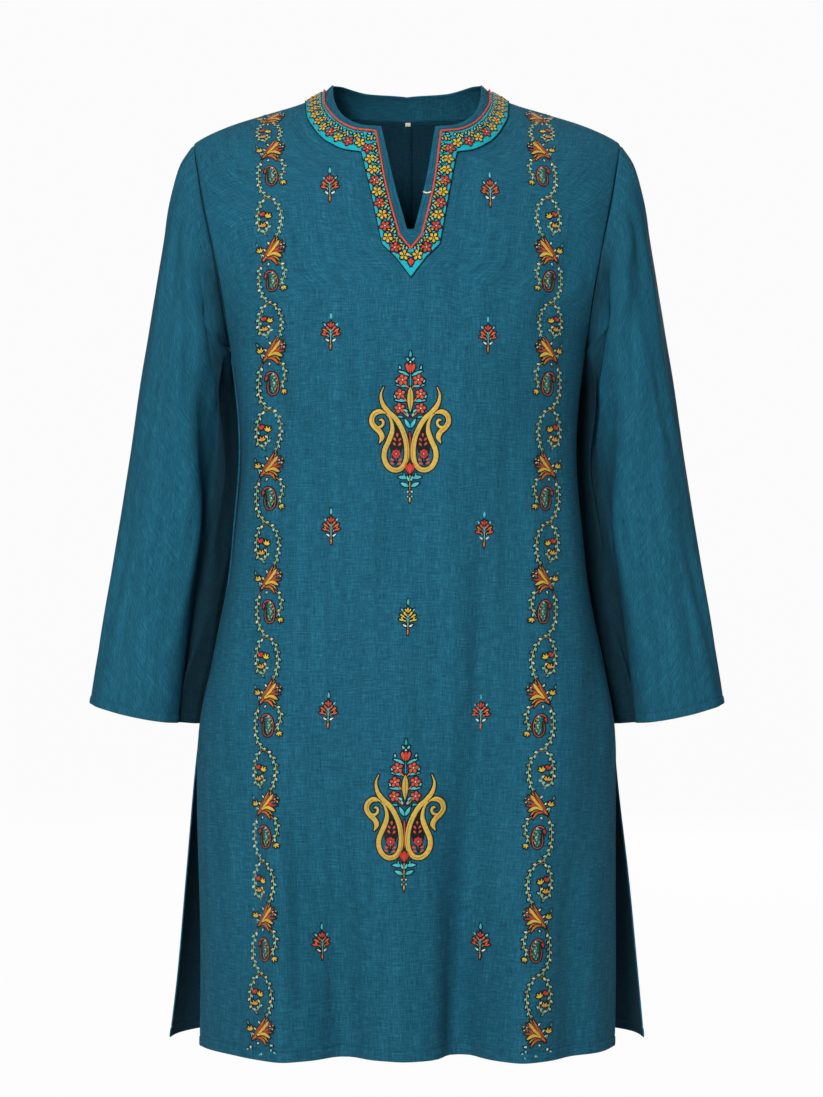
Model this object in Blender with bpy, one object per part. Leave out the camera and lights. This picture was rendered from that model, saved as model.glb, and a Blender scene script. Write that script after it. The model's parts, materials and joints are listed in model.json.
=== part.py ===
"""A kurta tunic, filled out as it is worn: hollow, and open at the neck, cuffs, hem and side slits.

Metres, +Z up, the front towards -Y. The origin is midway between the two points
where the shoulder seams meet the neck. Each cut piece is one closed wall, and the
pieces stop a small gap apart where a seam joins them.
"""

import math
from collections import namedtuple

import bmesh
import bpy
from mathutils import Vector

# Cloth and trims
WALL = 0.0015
SEAM_GAP = 0.0003
TRIM_LIFT = 0.0008
BORDER_THICK = 0.0010
PIPING_RADIUS = 0.0009
PIPING_SIDES = 6
SHARPEST_MITRE = 0.5  # the cosine past which the piping's corners are no longer stretched

# How square the body's sections are, and how the chest and back close over the shoulder.
# Below the dome a turn over the shoulder goes on by a radian for each DROP_A_RADIAN of height.
BODY_SQUARENESS = 2.3
DOME_SQUARENESS = 1.75
FRONT_DOME_START = -0.160
BACK_DOME_START = -0.120
DROP_A_RADIAN = 0.2

# Heights that the pieces share
HEM = -0.905
SLIT_TOP = -0.615
UNDERARM = -0.235

# Grid steps of the walls
STEPS_SLIT = 6
STEPS_BODY = 10
STEPS_YOKE = 2
STEPS_NECK_SLIT = 6
STEPS_NECK_FRONT = 8
STEPS_NECK_BACK = 8
STEPS_ARMHOLE = STEPS_YOKE + STEPS_NECK_SLIT + STEPS_NECK_FRONT
STEPS_HALF_PANEL = 14
STEPS_SLEEVE = 20
STEPS_BAND = 3
CURVE_SAMPLES = 400

# The body's outline, a row for each height. half is where front and back would meet,
# edge is where the panel is cut, depth is how far it stands from the side seam's plane.
BodyRow = namedtuple("BodyRow", "height front_half front_edge front_depth back_half back_edge back_depth")
BODY_ROWS = (
    BodyRow(-0.905, 0.2035, 0.2000, 0.1180, 0.2305, 0.2300, 0.1260),
    BodyRow(-0.760, 0.2030, 0.2005, 0.1180, 0.2165, 0.2160, 0.1200),
    BodyRow(-0.615, 0.2005, 0.2005, 0.1190, 0.2005, 0.2005, 0.1140),
    BodyRow(-0.530, 0.1885, 0.1885, 0.1180, 0.1885, 0.1885, 0.1070),
    BodyRow(-0.430, 0.1735, 0.1735, 0.1140, 0.1735, 0.1735, 0.0950),
    BodyRow(-0.335, 0.1635, 0.1635, 0.1120, 0.1635, 0.1635, 0.0900),
    BodyRow(-0.235, 0.1715, 0.1715, 0.1180, 0.1715, 0.1715, 0.1000),
    BodyRow(-0.200, 0.1840, 0.1840, 0.1185, 0.1840, 0.1840, 0.1030),
    BodyRow(-0.150, 0.2060, 0.2060, 0.1170, 0.2060, 0.2060, 0.1050),
    BodyRow(0.060, 0.2300, 0.2300, 0.1120, 0.2300, 0.2300, 0.1000),
)

# The shoulder seam's height, from the neck's centre, where it is only a guide, outwards
RidgeRow = namedtuple("RidgeRow", "across height")
RIDGE_ROWS = (
    RidgeRow(0.0000, 0.0560),
    RidgeRow(0.0400, 0.0400),
    RidgeRow(0.0720, 0.0180),
    RidgeRow(0.0786, 0.0115),
    RidgeRow(0.0975, 0.0010),
    RidgeRow(0.1340, -0.0105),
    RidgeRow(0.1680, -0.0210),
    RidgeRow(0.1960, -0.0330),
    RidgeRow(0.2065, -0.0400),
    RidgeRow(0.2400, -0.0700),
)

# The armhole seam, from the underarm to the shoulder point
ArmholeRow = namedtuple("ArmholeRow", "height across")
ARMHOLE_ROWS = (
    ArmholeRow(-0.2350, 0.1715),
    ArmholeRow(-0.2050, 0.1740),
    ArmholeRow(-0.1700, 0.1790),
    ArmholeRow(-0.1400, 0.1850),
    ArmholeRow(-0.1000, 0.1940),
    ArmholeRow(-0.0600, 0.2020),
    ArmholeRow(-0.0400, 0.2065),
)


def curve_through(rows, along, value):
    """A smooth curve through one column of a table, which never swings past its rows."""
    knots = [getattr(row, along) for row in rows]
    values = [getattr(row, value) for row in rows]
    gaps = list(zip(knots, knots[1:], values, values[1:]))
    steps = [(high - low) / (after - before) for before, after, low, high in gaps]
    slopes = [steps[0]]
    for one, two in zip(steps, steps[1:]):
        slopes.append(0.0 if one * two <= 0.0 else 2.0 * one * two / (one + two))
    slopes.append(steps[-1])

    def at(place):
        place = min(max(place, knots[0]), knots[-1])
        index = 0
        while index < len(knots) - 2 and place > knots[index + 1]:
            index += 1
        width = knots[index + 1] - knots[index]
        t = (place - knots[index]) / width
        rise = t * t * (3.0 - 2.0 * t)
        start = t * (1.0 - t) ** 2 * slopes[index] * width
        end = t * t * (t - 1.0) * slopes[index + 1] * width
        return values[index] * (1.0 - rise) + values[index + 1] * rise + start + end

    return at


front_half = curve_through(BODY_ROWS, "height", "front_half")
front_edge = curve_through(BODY_ROWS, "height", "front_edge")
front_depth = curve_through(BODY_ROWS, "height", "front_depth")
back_half = curve_through(BODY_ROWS, "height", "back_half")
back_edge = curve_through(BODY_ROWS, "height", "back_edge")
back_depth = curve_through(BODY_ROWS, "height", "back_depth")
ridge = curve_through(RIDGE_ROWS, "across", "height")
armhole_across = curve_through(ARMHOLE_ROWS, "height", "across")


# Soft folds of the front and back, as a line down the panel: depth is how far the cloth
# falls back at its foot, less than nothing where it comes forward, and it fades out upwards.
FoldRow = namedtuple("FoldRow", "side foot_across foot_height head_across head_height spread depth")
FRONT, BACK = -1, 1
FADE_BELOW_FOOT = 0.5  # of its own height, for a fold whose foot is above the hem
FOLD_ROWS = (
    FoldRow(FRONT, -0.0660, -0.905, -0.0920, -0.500, 0.0210, 0.0310),
    FoldRow(FRONT, 0.0530, -0.905, 0.0660, -0.470, 0.0210, 0.0400),
    FoldRow(FRONT, -0.1150, -0.905, -0.1350, -0.560, 0.0270, -0.0240),
    FoldRow(FRONT, 0.1120, -0.905, 0.1250, -0.540, 0.0270, -0.0240),
    FoldRow(FRONT, -0.1500, -0.400, -0.1250, -0.240, 0.0140, 0.0060),
    FoldRow(FRONT, 0.1500, -0.400, 0.1250, -0.240, 0.0140, 0.0060),
    FoldRow(BACK, -0.0900, -0.905, -0.0700, -0.520, 0.0240, 0.0260),
    FoldRow(BACK, 0.0800, -0.905, 0.0600, -0.480, 0.0240, 0.0260),
    FoldRow(BACK, 0.0000, -0.905, 0.0000, -0.480, 0.0360, -0.0080),
    FoldRow(BACK, -0.1500, -0.905, -0.1300, -0.600, 0.0240, -0.0140),
    FoldRow(BACK, 0.1500, -0.905, 0.1300, -0.600, 0.0240, -0.0140),
)

# How far the front's middle hangs to one side
DriftRow = namedtuple("DriftRow", "height shift")
DRIFT_ROWS = (
    DriftRow(-0.905, -0.0030),
    DriftRow(-0.700, -0.0015),
    DriftRow(-0.500, 0.0020),
    DriftRow(-0.170, 0.0038),
    DriftRow(-0.080, 0.0030),
    DriftRow(0.020, 0.0000),
)
drift = curve_through(DRIFT_ROWS, "height", "shift")


def fold_depth(side, across, height):
    """How far the folds of one side push the cloth towards the body's middle."""
    total = 0.0
    for row in FOLD_ROWS:
        if row.side != side:
            continue
        up = (height - row.foot_height) / (row.head_height - row.foot_height)
        if up < -FADE_BELOW_FOOT or up > 1.0:
            continue
        above = max(up, 0.0)
        below = max(-up, 0.0)
        fade = (1.0 - above * above) ** 2 * (1.0 - below / FADE_BELOW_FOOT)
        line = row.foot_across + (row.head_across - row.foot_across) * above
        offset = (across - line) / row.spread
        total += row.depth * fade * math.exp(-0.5 * offset * offset)
    return total


def half_width(side, height):
    return front_half(height) if side == FRONT else back_half(height)


def dome_start(side):
    return FRONT_DOME_START if side == FRONT else BACK_DOME_START


def round_out(share, squareness):
    """The other coordinate of a rounded corner, 1 where share is 0 and 0 where it is 1."""
    return (1.0 - min(abs(share), 1.0) ** squareness) ** (1.0 / squareness)


def dome_share(side, across, height):
    """How far up its closing curve a point is, 0 below it and 1 on the shoulder seam."""
    start = dome_start(side)
    return min(max((height - start) / (ridge(abs(across)) - start), 0.0), 1.0)


def body_depth(side, across, height):
    """How far the cloth stands from the side seams' plane."""
    depth = front_depth(height) if side == FRONT else back_depth(height)
    rounded = round_out(across / half_width(side, height), BODY_SQUARENESS)
    closing = round_out(dome_share(side, across, height), DOME_SQUARENESS)
    return (depth * rounded - fold_depth(side, across, height) * rounded ** 2) * closing


def hang(side, across, height):
    """Where a point of the cut panel hangs across the body."""
    if side == BACK:
        return across
    edge = across / half_width(side, height)
    closing = round_out(dome_share(side, across, height), DOME_SQUARENESS)
    return across + drift(height) * max(1.0 - edge * edge, 0.0) * closing


def body_point(side, across, height):
    across = hang(side, across, height)
    return Vector((across, side * body_depth(side, across, height), height))


SMALLEST_REACH = 1e-4


def body_field(side, point):
    """Less than nothing inside the body's outline, and more outside it."""
    across, out, height = point.x, point.y * side, point.z
    depth = front_depth(height) if side == FRONT else back_depth(height)
    share = dome_share(side, across, height)
    edge = abs(across) / half_width(side, height)
    rounded = round_out(edge, BODY_SQUARENESS)
    if share <= 0.0 or rounded <= 0.0:
        folded = abs(out + fold_depth(side, across, height) * rounded ** 2) / depth
        return folded ** BODY_SQUARENESS + edge ** BODY_SQUARENESS - 1.0
    reach = max(depth * rounded - fold_depth(side, across, height) * rounded ** 2, SMALLEST_REACH)
    return abs(out / reach) ** DOME_SQUARENESS + share ** DOME_SQUARENESS - 1.0


NORMAL_STEP = 0.0004


def body_normal(side, point):
    """The outward direction of the cloth at a point on it."""
    axes = [Vector(axis) * NORMAL_STEP for axis in ((1, 0, 0), (0, 1, 0), (0, 0, 1))]
    slopes = [body_field(side, point + axis) - body_field(side, point - axis) for axis in axes]
    return Vector(slopes).normalized()


# The neck's edges, a row for each place along half of it. along counts the grid steps from
# the middle of the back over the shoulder seam and down the slit. The opening is the inner
# edge, the piping lies outside it and the border's outer edge outside that.
NECK_COLUMNS = (
    "along side opening_across opening_height "
    "piping_across piping_height border_across border_height"
)
NeckRow = namedtuple("NeckRow", NECK_COLUMNS)
ON_SEAM = None  # a height that is the shoulder seam's own
ON_SEAM_TURN = 1e-6
SHOULDER_AT = STEPS_NECK_BACK
CORNER_AT = SHOULDER_AT + STEPS_NECK_FRONT
TIP_CORNER_AT = CORNER_AT + STEPS_NECK_SLIT - 2
TIP_AT = CORNER_AT + STEPS_NECK_SLIT
NECK_ROUND = (
    NeckRow(0.0, BACK, 0.0000, 0.0160, 0.0000, 0.0080, 0.0000, -0.0140),
    NeckRow(3.2, BACK, 0.0400, 0.0160, 0.0430, 0.0082, 0.0520, -0.0130),
    NeckRow(5.6, BACK, 0.0610, 0.0165, 0.0660, 0.0090, 0.0790, -0.0095),
    NeckRow(SHOULDER_AT, BACK, 0.0720, ON_SEAM, 0.0786, ON_SEAM, 0.0975, ON_SEAM),
    NeckRow(10.8, FRONT, 0.0712, 0.0040, 0.0783, -0.0035, 0.0955, -0.0180),
    NeckRow(12.3, FRONT, 0.0674, -0.0110, 0.0735, -0.0165, 0.0880, -0.0350),
    NeckRow(13.6, FRONT, 0.0590, -0.0235, 0.0645, -0.0285, 0.0752, -0.0495),
    NeckRow(14.8, FRONT, 0.0440, -0.0320, 0.0490, -0.0375, 0.0605, -0.0577),
    NeckRow(CORNER_AT, FRONT, 0.0255, -0.0345, 0.0303, -0.0405, 0.0447, -0.0607),
)
NECK_SLIT = (
    NeckRow(CORNER_AT, FRONT, 0.0255, -0.0345, 0.0303, -0.0405, 0.0447, -0.0607),
    NeckRow(CORNER_AT + 2, FRONT, 0.0160, -0.0840, 0.0228, -0.0900, 0.0360, -0.1020),
    NeckRow(TIP_CORNER_AT, FRONT, 0.0034, -0.1342, 0.0104, -0.1398, 0.0268, -0.1487),
)
NECK_TIP = (
    NeckRow(TIP_CORNER_AT, FRONT, 0.0034, -0.1342, 0.0104, -0.1398, 0.0268, -0.1487),
    NeckRow(TIP_AT, FRONT, 0.0000, -0.1345, 0.0000, -0.1527, 0.0000, -0.1797),
)
SEAM_SHARE = 0.72  # how far from the piping to the border's outer edge the band meets the panels

TurnRow = namedtuple("TurnRow", "along across turn")


def turn_over_shoulder(side, across, height):
    """A point's angle over the shoulder seam, 0 on it, less than nothing on the front.

    It reaches a quarter turn where the dome starts, and grows with the drop below that.
    """
    if height is ON_SEAM:
        return 0.0
    drop = dome_start(side) - height
    if drop > 0.0:
        return side * (math.pi / 2.0 + drop / DROP_A_RADIAN)
    return side * math.acos(dome_share(side, across, height) ** (DOME_SQUARENESS / 2.0))


def height_at_turn(across, turn):
    start = dome_start(BACK if turn > 0.0 else FRONT)
    past = abs(turn) - math.pi / 2.0
    if past > 0.0:
        return start - past * DROP_A_RADIAN
    return start + (ridge(abs(across)) - start) * math.cos(turn) ** (2.0 / DOME_SQUARENESS)


def neck_edge(name):
    """A function from a place along the neck to one edge's place across and its turn."""
    stretches = []
    for rows in (NECK_ROUND, NECK_SLIT, NECK_TIP):
        turns = []
        for row in rows:
            across, height = getattr(row, name + "_across"), getattr(row, name + "_height")
            turns.append(TurnRow(row.along, across, turn_over_shoulder(row.side, across, height)))
        across_at = curve_through(turns, "along", "across")
        turn_at = curve_through(turns, "along", "turn")
        stretches.append((rows[-1].along, across_at, turn_at))

    def at(along):
        for end, across_at, turn_at in stretches:
            if along <= end:
                break
        return across_at(along), turn_at(along)

    return at


opening_edge = neck_edge("opening")
piping_edge = neck_edge("piping")
border_edge = neck_edge("border")


def between(one, two, share):
    return tuple(a + (b - a) * share for a, b in zip(one, two))


def seam_edge(along):
    return between(piping_edge(along), border_edge(along), SEAM_SHARE)


def neck_place(edge, along, mirror):
    """The body's point and outward direction at a place along the neck."""
    across, turn = edge
    side = BACK if turn > 0.0 else FRONT
    point = body_point(side, mirror * across, height_at_turn(across, turn))
    if abs(turn) < ON_SEAM_TURN:
        point.y = 0.0
    return point, body_normal(side, point)


JOIN_DISTANCE = 1e-6


def wall_object(name, grids, thickness, material):
    """One closed wall: its outer points, and the same points moved in along their directions.

    Each grid is rows of points and rows of directions; grids that share points are merged.
    """
    mesh_data = bmesh.new()
    inward = mesh_data.verts.layers.float_vector.new("inward")
    for points, directions in grids:
        corners = []
        for row, ways in zip(points, directions):
            line = []
            for point, way in zip(row, ways):
                corner = mesh_data.verts.new(point)
                corner[inward] = -thickness * way
                line.append(corner)
            corners.append(line)
        for low, high in zip(corners, corners[1:]):
            for index in range(len(low) - 1):
                mesh_data.faces.new((low[index], low[index + 1], high[index + 1], high[index]))
    bmesh.ops.remove_doubles(mesh_data, verts=mesh_data.verts[:], dist=JOIN_DISTANCE)
    made = bmesh.ops.extrude_face_region(mesh_data, geom=mesh_data.faces[:], use_keep_orig=True)
    for item in made["geom"]:
        if isinstance(item, bmesh.types.BMVert):
            item.co += item[inward]
    mesh_data.verts.layers.float_vector.remove(inward)
    bmesh.ops.recalc_face_normals(mesh_data, faces=mesh_data.faces[:])
    return add_object(name, mesh_data, material)


def add_object(name, mesh_data, material):
    mesh = bpy.data.meshes.new(name)
    mesh_data.to_mesh(mesh)
    mesh_data.free()
    mesh.shade_smooth()
    mesh.set_sharp_from_angle(angle=math.radians(50.0))
    piece = bpy.data.objects.new(name, mesh)
    bpy.context.collection.objects.link(piece)
    mesh.materials.append(material)
    return piece


def cloth_material(name, colour, roughness, sheen=0.0):
    material = bpy.data.materials.new(name)
    material.use_nodes = True
    shader = material.node_tree.nodes["Principled BSDF"]
    shader.inputs["Base Color"].default_value = (*colour, 1.0)
    shader.inputs["Roughness"].default_value = roughness
    shader.inputs["Metallic"].default_value = 0.0
    shader.inputs["Sheen Weight"].default_value = sheen
    return material


def length_marks(curve, count):
    """Places along a curve from 0 to 1 that cut it into equal lengths."""
    places = [index / CURVE_SAMPLES for index in range(CURVE_SAMPLES + 1)]
    points = [curve(place) for place in places]
    lengths = [0.0]
    for one, two in zip(points, points[1:]):
        lengths.append(lengths[-1] + (two - one).length)
    marks = []
    index = 0
    for step in range(count + 1):
        wanted = lengths[-1] * step / count
        while index < CURVE_SAMPLES - 1 and lengths[index + 1] < wanted:
            index += 1
        share = (wanted - lengths[index]) / (lengths[index + 1] - lengths[index])
        marks.append((index + min(share, 1.0)) / CURVE_SAMPLES)
    return marks


def armhole_place(share):
    """The armhole seam's place across and height, from the underarm at 0 to the shoulder at 1."""
    top = ARMHOLE_ROWS[-1].height
    height = UNDERARM + (top - UNDERARM) * 0.5 * (1.0 - math.cos(math.pi * share))
    return armhole_across(height), height


def armhole_marks(side):
    """The armhole's grid points on one side, the same for the panel and the sleeve."""
    marks = length_marks(lambda share: body_point(side, *armhole_place(share)), STEPS_ARMHOLE)
    return [armhole_place(mark) for mark in marks]


def straight(start, end, steps):
    return [start + (end - start) * index / steps for index in range(steps + 1)]


def panel_sides(side):
    """The inner and outer ends of each grid row of half a panel, from the hem up."""
    edge = front_edge if side == FRONT else back_edge
    heights = straight(HEM, SLIT_TOP, STEPS_SLIT) + straight(SLIT_TOP, UNDERARM, STEPS_BODY)[1:]
    inner = [(0.0, height) for height in heights]
    outer = [(edge(height), height) for height in heights[:-1]] + armhole_marks(side)
    if side == FRONT:
        first, last, yoke = TIP_AT, SHOULDER_AT, STEPS_YOKE
    else:
        first, last, yoke = 0, SHOULDER_AT, STEPS_ARMHOLE - STEPS_NECK_BACK
    step = 1 if last > first else -1
    neck = []
    for along in range(first, last + step, step):
        across, turn = seam_edge(along)
        neck.append((across, height_at_turn(across, turn)))
    inner += [(0.0, height) for height in straight(UNDERARM, neck[0][1], yoke)[1:-1]] + neck
    return inner, outer


def panel_grid(side, mirror):
    """Half a panel's outer points and directions, one row for each step up it."""
    inner, outer = panel_sides(side)
    top = len(inner) - 1
    underarm_row = STEPS_SLIT + STEPS_BODY
    points, directions = [], []
    for index, (near, far) in enumerate(zip(inner, outer)):
        near_half, far_half = half_width(side, near[1]), half_width(side, far[1])
        near_angle = math.asin(min(near[0] / near_half, 1.0))
        far_angle = math.asin(min(far[0] / far_half, 1.0))
        follow = max(index - underarm_row, 0) / (top - underarm_row)
        row, ways = [], []
        for column in range(STEPS_HALF_PANEL + 1):
            share = column / STEPS_HALF_PANEL
            angle = near_angle + (far_angle - near_angle) * share
            across = (near_half + (far_half - near_half) * share) * math.sin(angle)
            level = near[1] + (far[1] - near[1]) * share
            drops = near[1] - ridge(near[0]), far[1] - ridge(far[0])
            below = ridge(across) + drops[0] + (drops[1] - drops[0]) * share
            height = level + (below - level) * follow
            point = body_point(side, mirror * across, height)
            way = body_normal(side, point)
            on_side_seam = column == STEPS_HALF_PANEL and STEPS_SLIT <= index <= underarm_row
            if index == top or on_side_seam:
                point.y = 0.0
                way = Vector((way.x, 0.0, way.z)).normalized()
            point.y += side * SEAM_GAP / 2.0
            if side == BACK and column == 0 and near[0] == 0.0:
                point.x += mirror * SEAM_GAP / 2.0
                way = Vector((0.0, way.y, way.z)).normalized()
            row.append(point)
            ways.append(way)
        points.append(row)
        directions.append(ways)
    return points, directions


def make_front(material):
    halves = [panel_grid(FRONT, mirror) for mirror in (-1, 1)]
    return wall_object("front", halves, WALL, material)


def make_back(name, mirror, material):
    return wall_object(name, [panel_grid(BACK, mirror)], WALL, material)


# The sleeve's sections, from the armhole to the cuff. outer and inner are the places across
# and heights of its outer and inner sides, front and back how far it reaches each way.
SleeveRow = namedtuple(
    "SleeveRow", "along outer_across outer_height inner_across inner_height front_reach back_reach"
)
SLEEVE_ROWS = (
    SleeveRow(0.00, 0.2065, -0.0400, 0.1719, -0.2346, -0.0600, 0.0550),
    SleeveRow(0.06, 0.2190, -0.0600, 0.1735, -0.2348, -0.0610, 0.0570),
    SleeveRow(0.12, 0.2280, -0.0930, 0.1745, -0.2360, -0.0600, 0.0600),
    SleeveRow(0.19, 0.2350, -0.1350, 0.1710, -0.2400, -0.0560, 0.0640),
    SleeveRow(0.27, 0.2446, -0.1830, 0.1660, -0.2520, -0.0490, 0.0700),
    SleeveRow(0.37, 0.2538, -0.2410, 0.1610, -0.2780, -0.0390, 0.0770),
    SleeveRow(0.48, 0.2634, -0.2985, 0.1585, -0.3160, -0.0280, 0.0830),
    SleeveRow(0.60, 0.2738, -0.3590, 0.1600, -0.3730, -0.0190, 0.0870),
    SleeveRow(0.73, 0.2850, -0.4295, 0.1700, -0.4450, -0.0150, 0.0850),
    SleeveRow(0.87, 0.2976, -0.5040, 0.1835, -0.5225, -0.0130, 0.0780),
    SleeveRow(1.00, 0.3104, -0.5805, 0.1965, -0.6020, -0.0120, 0.0690),
)
SLEEVE_SQUARENESS = 2.15
SLEEVE_CLEARANCE = 0.0030  # from the sleeve's outer side to the body it hangs against
CLEARANCE_RAMP = 0.010  # the height below the underarm in which that clearance opens
ARMHOLE_FADE = 0.16  # how far down the sleeve its sections still keep the armhole's own shape
ARMHOLE_FADE_POWER = 1.5
ARMHOLE_GAP = 1.5 * SEAM_GAP
ARMHOLE_WAY = Vector((1.0, 0.0, 0.3))  # roughly out of the armhole, on the left
SLEEVE_FOLD_POWER = 1.2

sleeve_curves = [curve_through(SLEEVE_ROWS, "along", name) for name in SleeveRow._fields[1:]]


# Soft folds across a sleeve: a trough from its head to its foot, by place along the sleeve and
# angle round it in degrees, as wide as spread and as deep as depth.
SleeveFoldRow = namedtuple("SleeveFoldRow", "head_along head_angle foot_along foot_angle spread depth")
SLEEVE_FOLD_ROWS = (
    SleeveFoldRow(0.22, 80.0, 0.70, 142.0, 18.0, 0.0120),
    SleeveFoldRow(0.30, 300.0, 0.62, 232.0, 20.0, 0.0090),
)


def sleeve_fold(along, angle):
    total = 0.0
    for row in SLEEVE_FOLD_ROWS:
        share = (along - row.head_along) / (row.foot_along - row.head_along)
        if 0.0 < share < 1.0:
            line = row.head_angle + (row.foot_angle - row.head_angle) * share
            offset = (math.degrees(angle) - line) / row.spread
            swell = math.sin(math.pi * share) ** SLEEVE_FOLD_POWER
            total += row.depth * swell * math.exp(-0.5 * offset * offset)
    return total


def sleeve_section(along, angle):
    """A point of the sleeve's rounded section: angle 0 is its outer side, 90 degrees its front."""
    row = SleeveRow(along, *[curve(along) for curve in sleeve_curves])
    cosine, sine = math.cos(angle), math.sin(angle)
    lengthwise = math.copysign(abs(cosine) ** (2.0 / SLEEVE_SQUARENESS), cosine)
    sideways = math.copysign(abs(sine) ** (2.0 / SLEEVE_SQUARENESS), sine)
    outer = Vector((row.outer_across, 0.0, row.outer_height))
    inner = Vector((row.inner_across, 0.0, row.inner_height))
    front = Vector((0.0, row.front_reach, 0.0))
    back = Vector((0.0, row.back_reach, 0.0))
    middle = (outer + inner + front + back) / 2.0
    reach = (outer - inner) / 2.0 * lengthwise + (front - back) / 2.0 * sideways
    return middle + reach * (1.0 - sleeve_fold(along, angle) / reach.length)


def armhole_loop():
    """The armhole's seam points and outward directions, from the shoulder round the front."""
    loop = []
    for side in (FRONT, BACK):
        marks = armhole_marks(side)
        ring = marks[::-1] if side == FRONT else marks[1:-1]
        for across, height in ring:
            point = body_point(side, across, height)
            if (across, height) in (marks[0], marks[-1]):
                point.y = 0.0
            loop.append(point)
    return loop


def sleeve_grid(mirror):
    loop = armhole_loop()
    count = len(loop)
    middle = sum(loop, Vector()) / count
    start = []
    for index, point in enumerate(loop):
        along_seam = (loop[(index + 1) % count] - loop[index - 1]).normalized()
        side = FRONT if point.y <= 0.0 else BACK
        away = along_seam.cross(body_normal(side, point)).normalized()
        away = away if away.dot(ARMHOLE_WAY) > 0.0 else -away
        start.append(point + away * ARMHOLE_GAP)
    points = []
    for step in range(STEPS_SLEEVE + 1):
        along = step / STEPS_SLEEVE
        row = []
        fade = max(1.0 - along / ARMHOLE_FADE, 0.0) ** ARMHOLE_FADE_POWER
        for index in range(count + 1):
            angle = 2.0 * math.pi * index / count
            section = sleeve_section(along, angle)
            armhole = start[index % count] - sleeve_section(0.0, angle)
            row.append(clear_of_body(section + armhole * fade))
        points.append(row)
    return mirrored(points, mirror)


def clear_of_body(point):
    """The point moved outwards where it would be in the body's side or too near it."""
    if point.z > UNDERARM:
        return point
    side = FRONT if point.y < 0.0 else BACK
    depth = body_depth(side, 0.0, point.z)
    reach = round_out(point.y / depth, BODY_SQUARENESS) * half_width(side, point.z)
    ramp = min((UNDERARM - point.z) / CLEARANCE_RAMP, 1.0)
    point.x = max(point.x, reach + SLEEVE_CLEARANCE * ramp)
    return point


def mirrored(points, mirror):
    return [[Vector((mirror * point.x, point.y, point.z)) for point in row] for row in points]


def grid_directions(points):
    """Outward directions of a closed tube of points, from its neighbours in the grid."""
    count = len(points[0]) - 1
    directions = []
    for index, row in enumerate(points):
        middle = sum(row[:-1], Vector()) / count
        above, below = points[max(index - 1, 0)], points[min(index + 1, len(points) - 1)]
        ways = []
        for column in range(count + 1):
            around = row[(column + 1) % count] - row[(column - 1) % count]
            down = below[column % count] - above[column % count]
            way = around.cross(down).normalized()
            ways.append(way if way.dot(row[column % count] - middle) > 0.0 else -way)
        directions.append(ways)
    return directions


def make_sleeve(name, mirror, material):
    points = sleeve_grid(mirror)
    directions = grid_directions(points)
    middle = sum(points[0][:-1], Vector()) / (len(points[0]) - 1)
    for column, point in enumerate(points[0]):
        radial = point - middle
        radial.x = 0.0
        directions[0][column] = radial.normalized()
    return wall_object(name, [(points, directions)], WALL, material)


def neck_stations():
    """Places along the whole neck, from the back's middle round one side and back round the other."""
    half = list(range(TIP_AT + 1))
    return [(along, 1) for along in half] + [(along, -1) for along in half[-2:0:-1]] + [(0, 1)]


def neck_grid(start, end, steps, lift):
    """Rows round the neck from one edge to another, lifted off the body."""
    points, directions = [], []
    for step in range(steps + 1):
        row, ways = [], []
        for along, mirror in neck_stations():
            edge = between(start(along), end(along), step / steps)
            point, way = neck_place(edge, along, mirror)
            if along in (0, TIP_AT):
                way = Vector((0.0, way.y, way.z)).normalized()
            row.append(point + way * lift)
            ways.append(way)
        points.append(row)
        directions.append(ways)
    return points, directions


def past_edge(start, end, along, clearance):
    """A place on the way from one edge to another, a clearance past the first."""
    here, there = [neck_place(edge(along), along, 1)[0] for edge in (start, end)]
    shares = []
    for beside in (along - 1, along + 1):
        if 0 <= beside <= TIP_AT:
            path = neck_place(start(beside), beside, 1)[0] - here
            shares.append(clearance / (there - here).cross(path.normalized()).length)
    return between(start(along), end(along), max(shares))


def inside_seam(along):
    """The band's outer edge, which stops short of the panels' edge."""
    return past_edge(seam_edge, opening_edge, along, SEAM_GAP)


def make_neck_band(material):
    grid = neck_grid(opening_edge, inside_seam, STEPS_BAND, 0.0)
    return wall_object("neck_band", [grid], WALL, material)


def border_start(along):
    """The border's inner edge, which stops short of the piping."""
    return past_edge(piping_edge, border_edge, along, PIPING_RADIUS + SEAM_GAP)


def make_neck_border(material):
    grid = neck_grid(border_start, border_edge, STEPS_BAND, TRIM_LIFT + BORDER_THICK)
    return wall_object("neck_border", [grid], BORDER_THICK, material)


def make_neck_piping(material):
    path, directions = neck_grid(piping_edge, piping_edge, 1, TRIM_LIFT + PIPING_RADIUS)
    path, directions = path[0][:-1], directions[0][:-1]
    count = len(path)
    rings = []
    for index, (point, up) in enumerate(zip(path, directions)):
        before = (point - path[index - 1]).normalized()
        after = (path[(index + 1) % count] - point).normalized()
        ahead = (before + after).normalized()
        out = ahead.cross(up).normalized() / max(ahead.dot(after), SHARPEST_MITRE)
        ring = []
        for corner in range(PIPING_SIDES):
            angle = 2.0 * math.pi * (corner + 0.5) / PIPING_SIDES
            ring.append(point + PIPING_RADIUS * (math.cos(angle) * out + math.sin(angle) * up))
        rings.append(ring)
    mesh_data = bmesh.new()
    corners = [[mesh_data.verts.new(point) for point in ring] for ring in rings]
    for index, ring in enumerate(corners):
        following = corners[(index + 1) % count]
        for side in range(PIPING_SIDES):
            ahead = (side + 1) % PIPING_SIDES
            mesh_data.faces.new((ring[side], ring[ahead], following[ahead], following[side]))
    bmesh.ops.recalc_face_normals(mesh_data, faces=mesh_data.faces[:])
    return add_object("neck_piping", mesh_data, material)


LABEL_WIDTH = 0.0060
LABEL_HEIGHT = 0.0034
LABEL_THICK = 0.0010
LABEL_ABOVE_SEAM = 0.0012
LABEL_ACROSS = 0.0010
LABEL_GAP = 2.0 * SEAM_GAP


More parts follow.
